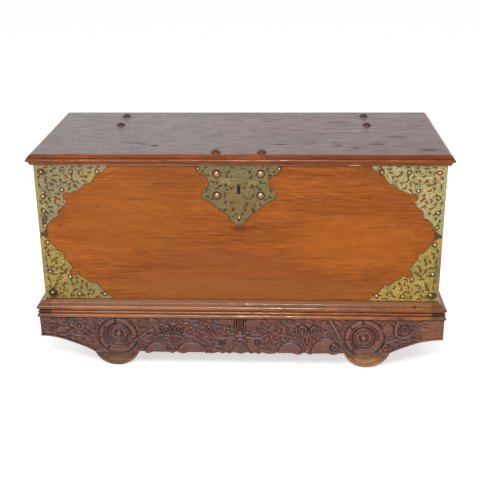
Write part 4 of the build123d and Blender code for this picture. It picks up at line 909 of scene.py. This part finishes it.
# Where each leaf's nails stand, the thorns left between the lobes of its edge (from base to tip)
# and the bite sawn between the two middle thorns.
UPPER_NAILS = ((20, 30), (106, 29), (183, 29), (77, 84), (19, 105), (18, 150), (18, 195))
LOWER_NAILS = ((20, 182), (20, 89), (80, 72), (22, 21), (104, 16), (182, 17))
UPPER_THORNS = ((151, 55, 158, 68), (98, 85, 106, 98), (76, 121, 88, 118), (52, 156, 60, 166))
LOWER_THORNS = ((54, 148, 61, 157), (77, 104, 90, 106), (102, 75, 111, 87), (151, 45, 162, 55))
THORN_BASE = 6.0
THORN_TIP = 0.7
UPPER_BITE = (91, 103.5, 12.0)
LOWER_BITE = (94, 89, 12.0)
NAIL_HEAD = 6.0
UPPER_LEAF = (UPPER_HOLES, UPPER_NAILS, UPPER_THORNS, UPPER_BITE)
LOWER_LEAF = (LOWER_HOLES, LOWER_NAILS, LOWER_THORNS, LOWER_BITE)

# The small chisel ticks between the openings: how many places are tried on a leaf, and the corners they lie
# between, each as along, away and slant.
TICKS = 90
TICK_RANGE = ((8, 8, 0), (200, 190, 180))
TICK_CUT = (4.5, 0.9)
TICK_RIM = 0.4

# How far a cut slips, in degrees of slant and millimetres of length, what the saw leaves of it, and the curl,
# the discs and the taper of an opening.
SLANT_SLIP = 14.0
LENGTH_SLIP = 0.6
SAW_LOSS = 0.5
CURL = 1.6
DISCS = 6
TAPER = 0.55

# In millimetres: a distance beyond any cut, and the reach of the widest opening; and the share of a grid cell
# within which a point is moved onto the cut.
FAR_AWAY = 99.0
WIDEST_OPENING = 22.0
SNAP = 0.28


def comma(along, away, slant, length, half):
    """An opening as discs that shrink along a short curl, like the cut of a gouge turned in the hand."""
    discs = []
    turn = math.radians(slant)
    for k in range(DISCS):
        t = k / (DISCS - 1)
        reach = length * (t - 0.5)
        curl = CURL * half * (t - t * t * CURL)
        discs.append((along + reach * math.cos(turn) - curl * math.sin(turn),
                      away + reach * math.sin(turn) + curl * math.cos(turn), half * (1.0 - TAPER * t)))
    return discs


def open_edges(faces):
    """The edges that only one of the faces has, in the direction in which that face runs."""
    edges = {}
    for face in faces:
        for a, b in zip(face, face[1:] + face[:1]):
            if (b, a) in edges:
                del edges[(b, a)]
            else:
                edges[(a, b)] = True
    return list(edges)


def front_outline(node):
    """The edges of the CAD node's foremost flat face, each a pair of places (x, z) in millimetres."""
    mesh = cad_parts[node].data
    points = np.array([v.co for v in mesh.vertices]) / MM
    front = points[:, 1].min()
    faces = []
    for face in mesh.polygons:
        corners = points[list(face.vertices)]
        if (np.abs(corners[:, 1] - front) < 0.02).all():
            faces.append([tuple(np.round(corner[[0, 2]], 3)) for corner in corners])
    return np.array(open_edges(faces), float)


def depth_inside(edges, u, v):
    """How far each point lies inside the outline: its distance to the nearest edge, negative outside."""
    least = np.full(u.shape, 1e9)
    crossings = np.zeros(u.shape, int)
    for (ua, va), (ub, vb) in edges:
        du, dv = ub - ua, vb - va
        t = np.clip(((u - ua) * du + (v - va) * dv) / max(du * du + dv * dv, 1e-12), 0.0, 1.0)
        least = np.minimum(least, np.hypot(u - ua - t * du, v - va - t * dv))
        if va != vb:
            spans = (v > min(va, vb)) & (v <= max(va, vb))
            crossings += spans & (u < ua + (v - va) / (vb - va) * du)
    return np.where(crossings % 2 == 1, least, -least)


def clearance(u, v, discs):
    """How far each point lies from the nearest of the discs, negative inside one."""
    gap = np.full(u.shape, 1e9)
    for a, b, radius in discs:
        gap = np.minimum(gap, np.hypot(u - a, v - b) - radius)
    return gap


def pierce(depth, u, v, openings):
    """Takes the openings, each a list of discs, out of a sheet's depth field."""
    for discs in openings:
        middle = np.mean(discs, 0)
        near = (np.abs(u - middle[0]) < WIDEST_OPENING) & (np.abs(v - middle[1]) < WIDEST_OPENING)
        depth[near] = np.minimum(depth[near], clearance(u[near], v[near], discs))
    return depth


def thorn(along, away, tip_along, tip_away):
    """A thorn as discs that shrink from its base to its tip."""
    return [(along + t * (tip_along - along), away + t * (tip_away - away),
             THORN_BASE * (1.0 - t) + THORN_TIP * t) for t in np.linspace(0.0, 1.0, 9)]


def cut_along_zero(u, v, depth, cell):
    """Cuts a grid along the line where its depth is zero, and gives the points, depths and faces inside."""
    grad_u, grad_v = np.gradient(depth, cell)
    steep = np.maximum(grad_u ** 2 + grad_v ** 2, 0.25)
    close = np.abs(depth) < SNAP * cell
    u = np.where(close, u - depth * grad_u / steep, u)
    v = np.where(close, v - depth * grad_v / steep, v)
    depth = np.where(close, 0.0, depth)
    rows = u.shape[1]
    points = list(zip(u.ravel(), v.ravel()))
    depths = list(depth.ravel())
    used = {}
    made_points, made_depths, faces = [], [], []

    def point(key, place, value):
        if key not in used:
            used[key] = len(made_points)
            made_points.append(place)
            made_depths.append(value)
        return used[key]

    for i in range(u.shape[0] - 1):
        for j in range(rows - 1):
            ring = (i * rows + j, (i + 1) * rows + j, (i + 1) * rows + j + 1, i * rows + j + 1)
            levels = [depths[k] for k in ring]
            if max(levels) <= 0.0:
                continue
            face = []
            for a, b, da, db in zip(ring, ring[1:] + ring[:1], levels, levels[1:] + levels[:1]):
                if da >= 0.0:
                    face.append(point(a, points[a], depths[a]))
                if da * db < 0.0:
                    t = da / (da - db)
                    place = tuple((1 - t) * p + t * q for p, q in zip(points[a], points[b]))
                    face.append(point((min(a, b), max(a, b)), place, 0.0))
            if len(face) > 2:
                faces.append(face)
    return np.array(made_points), np.array(made_depths), faces


def plate_mesh(name, points, depths, faces, place, nails):
    """Gives a cut sheet its thickness. place turns sheet places and heights above the wood into points in
    space, and nails gives each point's distance in millimetres to the nearest nail head."""
    swell = 1.0 - np.exp(-(depths / EDGE_ROUNDING) ** 2)
    outer = place(points, PLATE_EDGE + (PLATE - PLATE_EDGE) * swell)
    inner = place(points, np.full(len(points), UNDER_GAP))
    count = len(points)
    walls = [(b, a, a + count, b + count) for a, b in open_edges(faces)]
    backs = [[k + count for k in reversed(face)] for face in faces]
    return closed_mesh(name, np.vstack((outer, inner)), faces + backs + walls, len(faces),
                       rim=np.concatenate((depths, np.zeros(count))), nail=np.concatenate((nails, nails)))


# Old brass: how metallic it is, how fine its clouds, specks and broad patches are, how deep its specks and
# chased lines are in metres, and the share that turns the mesh's millimetres into centimetres.
BRASS_METALLIC = 0.92
BRASS_CLOUDS = 190.0
BRASS_SPECKS = 520.0
BRASS_PATCHES = 17.0
BRASS_DEPTH = 0.0004
CENTIMETRE = 0.1
POLISH_DIRT = colour(246, 238, 226)


def brass(name, dull, mid, bright, green, roughness=0.36, chased=True, line_depth=0.26, shade_strength=0.75,
          shade_start=0.5, spots=()):
    """Old sheet brass: bright where hands rub it, olive and brown, darker round its nails and along its cuts,
    with painted shade in its hollows.
    """
    made = Finish(name, roughness, BRASS_METALLIC)
    cloud = made.noise(made.place(), BRASS_CLOUDS, 5.0, 0.75)
    speck = made.noise(made.place(), BRASS_SPECKS, 3.0, 0.6)
    broad = made.noise(made.place(), BRASS_PATCHES, 2.0, 0.5)
    tone = made.ramp(cloud, (0.36, dull), (0.5, mid), (0.64, bright))
    tone = made.mix(made.ramp(broad, (0.42, 0.0), (0.6, 0.6)), tone, green)
    tone = made.times(tone, made.ramp(speck, (0.34, 0.5), (0.5, 1.0)))
    tone = made.spots(tone, *spots)
    height = speck
    if chased:
        rim = made.sum("MULTIPLY", made.note("rim"), CENTIMETRE)
        line = made.ramp(rim, (0.0, line_depth), (0.1, 2 * line_depth), (0.2, 1.0), (0.3, 1.0), (0.36, 0.6),
                         (0.44, 1.0))
        tone = made.times(tone, line)
        nail = made.sum("MULTIPLY", made.note("nail"), CENTIMETRE)
        tone = made.times(tone, made.ramp(nail, (0.0, 0.2), (0.1, 0.32), (0.3, 1.0)))
        height = made.sum("ADD", made.sum("MULTIPLY", speck, 0.4), line)
    # Painted shade in the hollows and round the foot of nails; on domed heads it darkens the flanks, standing
    # in for a darker reflection.
    shade = made.ramp(made.hollow_shade(0.007, 8), (shade_start, 1.0 - shade_strength), (0.93, 1.0))
    tone = made.times(tone, made.times(shade, POLISH_DIRT))
    made.set("Base Color", tone)
    made.set("Roughness", made.ramp(cloud, (0.35, roughness + 0.14), (0.65, roughness)))
    made.bump(height, BRASS_DEPTH, 0.6)
    return made


def mount(node, holes, nails, thorns, bite, seed, finish):
    """One corner mount: both leaves are cut flat as one sheet, which is then folded round the corner."""
    side = -1.0 if "left" in node else 1.0
    low, high = (Vector(c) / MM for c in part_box(node))
    corner_x = high.x if side > 0 else -low.x
    corner_y = low.y
    edge_z, way = (high.z, -1.0) if "upper" in node else (low.z, 1.0)
    edges = front_outline(node)
    edges = np.stack((corner_x - side * edges[..., 0], way * (edges[..., 1] - edge_z)), -1)
    edges[..., 0] = np.where(edges[..., 0] < FOLD, -PAST_FOLD, edges[..., 0])
    reach = edges[..., 0].max() + 2 * PLATE_CELL
    tall = edges[..., 1].max() + 2 * PLATE_CELL
    us = np.arange(-reach, reach + PLATE_CELL, PLATE_CELL)
    vs = np.arange(-2 * PLATE_CELL, tall + PLATE_CELL, PLATE_CELL)
    u, v = np.meshgrid(us, vs, indexing="ij")
    depth = depth_inside(edges, np.abs(u), v)
    for points in thorns:
        depth = np.maximum(depth, -clearance(np.abs(u), v, thorn(*points)))
    depth = np.minimum(depth, clearance(np.abs(u), v, [bite]))
    chance = np.random.default_rng(seed)
    openings = []
    for leaf in (-1.0, 1.0):
        for along, away, slant, length, half in holes:
            shake = chance.normal(0.0, 1.0, 4)
            discs = comma(along + PLATE + shake[0], away + shake[1], slant + SLANT_SLIP * shake[2],
                          length - SAW_LOSS + LENGTH_SLIP * shake[3], half)
            openings.append([(leaf * a, b, r) for a, b, r in discs])
    depth = pierce(depth, u, v, openings)

    def place(points, lift):
        s, t = points[:, 0], points[:, 1]
        bend = np.clip(s / FOLD, -1.0, 1.0) * math.pi / 4 + math.pi / 4
        radius = FOLD - PLATE + lift
        x = corner_x - FOLD + radius * np.cos(bend)
        y = corner_y + FOLD - radius * np.sin(bend)
        x = np.where(s > FOLD, corner_x - s, np.where(s < -FOLD, corner_x - PLATE + lift, x))
        y = np.where(s > FOLD, corner_y + PLATE - lift, np.where(s < -FOLD, corner_y - s, y))
        return np.column_stack((side * x, y, edge_z + way * t))

    points, depths, faces = cut_along_zero(u, v, depth, PLATE_CELL)
    if side * way < 0:
        faces = [face[::-1] for face in faces]
    along, away = np.abs(points[:, 0]), points[:, 1]
    heads = clearance(along, away, [(a + PLATE, b, NAIL_HEAD) for a, b in nails])
    tried = [comma(a, b, slant, *TICK_CUT) for a, b, slant in chance.uniform(*TICK_RANGE, (TICKS, 3))]
    ticks = pierce(np.full(len(points), FAR_AWAY), along, away, tried)
    rims = np.minimum(depths, np.maximum(ticks, 0.0) + TICK_RIM)
    mesh = plate_mesh("pierced_" + node, points, rims, faces, place, heads)
    piece("pierced_" + node, mesh, finish, "carcass", "mount_brass", node)


STAIN = colour(58, 46, 40)
# On the upper left mount: a pale strip down the fold is a painted highlight, and a yellower patch and dark
# stains are its own.
UPPER_LEFT_MARKS = marks(-250, 20, (-586, 560, 9, 130, colour(164, 142, 82), 0.6),
                         (-430, 628, 50, 26, colour(164, 148, 88), 0.55),
                         (-568, 644, 20, 16, STAIN, 0.7), (-572, 500, 12, 22, STAIN, 0.5))
UPPER_RIGHT_MARKS = marks(-250, 20, (400, 648, 18, 12, STAIN, 0.6))
LOWER_LEFT_MARKS = (*marks(-250, 22, (-566, 262, 22, 24, STAIN, 0.9)),
                    *marks(-250, 20, (-570, 335, 16, 12, STAIN, 0.6)))
LOWER_RIGHT_MARKS = marks(-250, 22, (590, 340, 26, 90, colour(112, 104, 80), 0.7),
                          (572, 262, 22, 18, STAIN, 0.85))

# Each mount: its CAD node, its leaves, the seed of its shaken cuts, its four brass tones and its marks.
MOUNTS = (
    ("upper_left_mount", UPPER_LEAF, 11,
     ((104, 96, 72), (150, 138, 102), (200, 190, 150), (128, 130, 110)), UPPER_LEFT_MARKS),
    ("upper_right_mount", UPPER_LEAF, 12,
     ((120, 110, 76), (172, 160, 112), (220, 210, 160), (148, 152, 114)), UPPER_RIGHT_MARKS),
    ("lower_left_mount", LOWER_LEAF, 13,
     ((108, 94, 56), (162, 142, 84), (204, 184, 122), (132, 126, 86)), LOWER_LEFT_MARKS),
    ("lower_right_mount", LOWER_LEAF, 14,
     ((124, 106, 54), (178, 154, 82), (216, 192, 118), (144, 136, 86)), LOWER_RIGHT_MARKS),
)
for node, leaf, seed, tones, spots in MOUNTS:
    finish = brass(node.replace("_", " ") + " brass", *(colour(*tone) for tone in tones), spots=spots)
    mount(node, *leaf, seed, finish)
# The nail heads get strong painted shade on their flanks, which leaves a pale crown.
dress(brass("nail head brass", colour(118, 98, 66), colour(164, 138, 98), colour(206, 180, 136),
            colour(148, 130, 94), roughness=0.24, chased=False, shade_strength=0.94, shade_start=0.8),
      "mount_nails", "escutcheon_nails")

# ------------------------------------------------------------------ The lock plate
# A shield of thick brass, sawn to a lobed outline, with a chased border and small
# scrolls punched into it. Four copper studs on it hold the iron lock inside.

# In millimetres: the grid on which the shield is cut, the depth of its punched scrolls and, further down, the
# length and half width of a tick and the radii of the nail and stud heads, round which the brass is darker.
LOCK_CELL = 1.25
PUNCHED = 0.7
LOCK_SEED = 21
LOCK_TICKS = 40
LOCK_TICK_RANGE = ((-112, 490, 0), (112, 662, 180))
LOCK_TICK_CUT = (5.0, 1.0)
LOCK_NAIL_HEAD = 4.0
STUD_HEAD = 10.5
LOCK_NAILS = ((-116, 656), (116, 656), (0, 506))
STUD_HEADS = tuple((x, z, STUD_HEAD) for x in (-63, 63) for z in (575, 640))

# Each punched scroll: its x and z, its slant, length and half width.
LOCK_SCROLLS = (
    (-94, 658, 20, 7, 1.8), (-28, 645, 60, 7, 1.6), (-35, 632, 120, 8, 1.6), (31, 646, 120, 7, 1.6),
    (35, 630, 60, 8, 1.6), (-75, 614, 0, 7, 1.7), (-62, 613, 90, 6, 1.7), (-54, 603, 45, 6, 1.7),
    (-61, 595, 0, 6, 1.6), (61, 615, 90, 6, 1.7), (73, 611, 0, 7, 1.7), (53, 601, 135, 6, 1.7),
    (61, 592, 0, 6, 1.6), (-38, 607, 90, 9, 1.8), (37, 603, 90, 9, 1.8), (-19, 617, 0, 4, 1.4),
    (-20, 597, 40, 5, 1.4), (14, 597, 140, 5, 1.4), (21, 610, 90, 5, 1.4), (-92, 590, 60, 11, 1.1),
    (92, 590, 120, 11, 1.1), (-89, 571, 30, 6, 1.6), (-78, 563, 150, 6, 1.6), (90, 569, 150, 6, 1.6),
    (77, 562, 30, 6, 1.6), (-78, 548, 40, 5, 1.5), (-39, 555, 90, 7, 1.7), (-19, 552, 20, 6, 1.6),
    (22, 550, 160, 6, 1.6), (62, 546, 120, 6, 1.6), (-40, 530, 45, 8, 1.9), (41, 532, 135, 8, 1.9),
    (-17, 531, 90, 5, 1.5), (18, 530, 90, 5, 1.5), (-8, 517, 45, 5, 1.4), (8, 518, 135, 5, 1.4),
    (-17, 657, 0, 6, 1.5), (13, 655, 0, 6, 1.5), (84, 656, 40, 6, 1.6), (102, 645, 90, 5, 1.5),
    (88, 636, 20, 6, 1.6), (-89, 634, 160, 6, 1.6), (-105, 645, 90, 5, 1.5), (0, 500, 90, 7, 1.6),
    (41, 575, 90, 8, 1.7), (-40, 577, 90, 8, 1.7), (-58, 532, 30, 6, 1.6), (58, 530, 150, 6, 1.6),
)


def lock_plate():
    """The shield, with the CAD node's own outline, keyhole and stud holes, and its punched scrolls."""
    edges = front_outline("escutcheon")
    low, high = (Vector(c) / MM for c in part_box("escutcheon"))
    us = np.arange(low.x - 2 * LOCK_CELL, high.x + 3 * LOCK_CELL, LOCK_CELL)
    vs = np.arange(low.z - 2 * LOCK_CELL, high.z + 3 * LOCK_CELL, LOCK_CELL)
    u, v = np.meshgrid(us, vs, indexing="ij")
    points, depths, faces = cut_along_zero(u, v, depth_inside(edges, u, v), LOCK_CELL)
    across, level = points[:, 0], points[:, 1]
    chance = np.random.default_rng(LOCK_SEED)
    small = chance.uniform(*LOCK_TICK_RANGE, (LOCK_TICKS, 3))
    cuts = [comma(*scroll) for scroll in LOCK_SCROLLS]
    cuts += [comma(x, z, slant, *LOCK_TICK_CUT) for x, z, slant in small]
    scrolls = pierce(np.full(len(points), FAR_AWAY), across, level, cuts)
    sunk = np.clip(0.5 - scrolls / LOCK_CELL, 0.0, 1.0) * PUNCHED

    def place(points, lift):
        lift = np.where(lift > 0.5 * PLATE, lift - sunk, lift)
        return np.column_stack((points[:, 0], high.y - lift * (high.y - low.y) / PLATE, points[:, 1]))

    heads = clearance(across, level, [(x, z, LOCK_NAIL_HEAD) for x, z in LOCK_NAILS] + list(STUD_HEADS))
    rims = np.minimum(depths, np.maximum(scrolls, 0.0))
    return plate_mesh("punched_lock_plate", points, rims, faces, place, heads)


# The two pale patches by the keyhole row are painted highlights; the browner middle is the plate's own tone.
lock_brass = brass("lock plate brass", colour(94, 83, 56), colour(124, 109, 75), colour(150, 135, 97),
                   colour(108, 108, 80), line_depth=0.28,
                   spots=marks(-250, 20, (0, 545, 60, 40, colour(118, 94, 64), 0.5),
                               (-32, 618, 30, 12, colour(156, 142, 92), 0.4),
                               (38, 612, 26, 12, colour(156, 142, 92), 0.35)))
piece("punched_lock_plate", lock_plate(), lock_brass, "carcass", "mount_brass", "escutcheon")
# The studs get strong painted shade on their flanks, which leaves a pale centre.
dress(brass("stud copper", colour(122, 84, 68), colour(178, 132, 110), colour(220, 182, 156),
            colour(144, 106, 86), roughness=0.26, chased=False, shade_strength=0.94, shade_start=0.8), "lock_studs")
dress(iron("lock iron", colour(86, 82, 78), colour(88, 60, 46), 0.45),
      "lock_case", "lock_selvedge", "lock_cover", "key_post", "lock_bolt")

# --------------------------------------------------------------------- The lid
# Two wide planks of dark polished wood, joined edge to edge and held flat by two
# battens. A moulding is nailed round the front and the ends.

LID_TONES = (colour(60, 36, 32), colour(102, 72, 68), colour(132, 100, 94))
LID_TOP = 698
# A grey-blue painted reflection over the left of the lid.
LID_SHEEN = ((-480, 40, LID_TOP), (640, 520, 90), colour(104, 88, 88), 0.75)
LID_REDNESS = ((540, -60, LID_TOP), (190, 330, 90), colour(88, 46, 38), 0.5)
LID_FLECK = colour(58, 28, 24)
DULL = (1.0, 1.0, 1.0, 1.0)

# Each fleck: its x and y, its half sizes in millimetres, and its strength.
LID_FLECKS = (
    (-250, -162, 15, 10, 0.9), (-318, -133, 34, 8, 0.5), (-290, -142, 22, 6, 0.5), (117, -147, 22, 8, 0.5),
    (286, -159, 16, 9, 0.6), (336, -185, 16, 9, 0.6), (400, -145, 34, 12, 0.4), (545, -205, 36, 14, 0.4),
    (-60, -186, 16, 6, 0.5), (470, -60, 40, 12, 0.25), (180, 20, 50, 9, 0.25), (300, 120, 60, 12, 0.25),
)


def lid_wood(name, shift):
    """A polished plank: its open grain, its flecks and the wood round its rivets have lost their shine."""
    flecks = [((x, y, LID_TOP), (half_x, half_y, 90), share) for x, y, half_x, half_y, share in LID_FLECKS]
    stains = [(middle, half, LID_FLECK, share) for middle, half, share in flecks]
    # Painted shade darkens the wood round the rivets.
    made = wood(name, *LID_TONES, broad_grain=(7.0, 3.0), fine_grain=(5.0, 15.0), roughness=0.3, shift=shift,
                shade_reach=0.01, shade_depth=0.95, shade_from=0.97, end=colour(60, 38, 32), blotch=0.35,
                gloss=0.43, spots=(LID_SHEEN, LID_REDNESS, *stains))
    streak = made.noise(made.stretched((1.0, 5.5, 5.5), shift), 17.0, 5.0, 0.7)
    dull = made.ramp(streak, (0.36, 0.48), (0.5, 0.3), (0.64, 0.24))
    dull = made.spots(dull, *((middle, half, DULL, share) for middle, half, share in flecks))
    dull = made.mix(made.ramp(made.hollow_shade(0.01), (0.6, 1.0), (0.98, 0.0)), dull, DULL)
    made.set("Roughness", dull)
    return made


dress(lid_wood("lid plank, front", (0.0, 0.0, 0.0)), "lid_front_plank")
dress(lid_wood("lid plank, rear", (3.0, 1.0, 2.0)), "lid_rear_plank")
LID_EDGE = dict(roughness=0.12, shade_reach=0.005, shade_depth=0.9, gloss=0.19)
# Painted shade along the underside of the moulding, thin painted highlights just under it, and darker tone at
# its top right and left end.
LID_EDGE_MARKS = (*marks(-262, 14, (0, 668, 900, 5, colour(92, 62, 56), 0.8),
                         (-300, 667, 340, 1.8, colour(186, 160, 136), 0.85),
                         (120, 667, 160, 1.6, colour(160, 130, 126), 0.6),
                         (327, 668, 24, 2.2, colour(200, 176, 164), 0.8)),
                  *marks(-262, 30, (330, 692, 320, 8, colour(112, 60, 40), 0.5),
                         (-570, 684, 80, 30, colour(112, 66, 36), 0.6)))
dress(wood("lid moulding teak, front", colour(112, 46, 18), colour(152, 76, 28), colour(180, 98, 42),
           spots=LID_EDGE_MARKS, **LID_EDGE), "lid_front_moulding")
dress(wood("lid moulding teak, ends", colour(92, 44, 26), colour(122, 66, 38), colour(146, 84, 50), grain="y",
           end=colour(96, 50, 32), **LID_EDGE), "lid_left_moulding", "lid_right_moulding")
dress(wood("lid batten teak", colour(100, 58, 34), colour(134, 82, 48), colour(158, 102, 60), grain="y",
           end=colour(84, 50, 34), roughness=0.6), "lid_battens")

# --------------------------------------------------- Hinges, strike and their rivets
# Two strap hinges of forged iron at the back, and a strike plate under the front
# of the lid. Their rivets go right through the wood and are clenched outside.

dress(iron("hinge iron", colour(70, 67, 65), colour(92, 58, 42)),
      "left_hinge_lid_strap", "right_hinge_lid_strap", "left_hinge_back_strap", "right_hinge_back_strap",
      "hinge_pins", "strike_plate")
# On the rivets the painted shade is strong: it darkens the flanks of each head and a ring round it.
dress(iron("rivet iron", colour(94, 62, 44), colour(60, 38, 28), 0.55, reach=0.012, foot=0.55, foot_end=0.98),
      "strike_rivets", "hinge_lid_rivets", "hinge_back_rivets")

# ------------------------------------------------------------------- The handles
# A brass bail on each end hangs from two eye bolts, which are clenched through
# the end board over a back plate with pointed ends.

dress(brass("handle brass", colour(120, 100, 52), colour(170, 146, 78), colour(206, 182, 108),
            colour(132, 124, 72), roughness=0.3, chased=False, shade_strength=0.6),
      "left_handle_plate", "right_handle_plate", "handle_eyes", "left_bail", "right_bail")
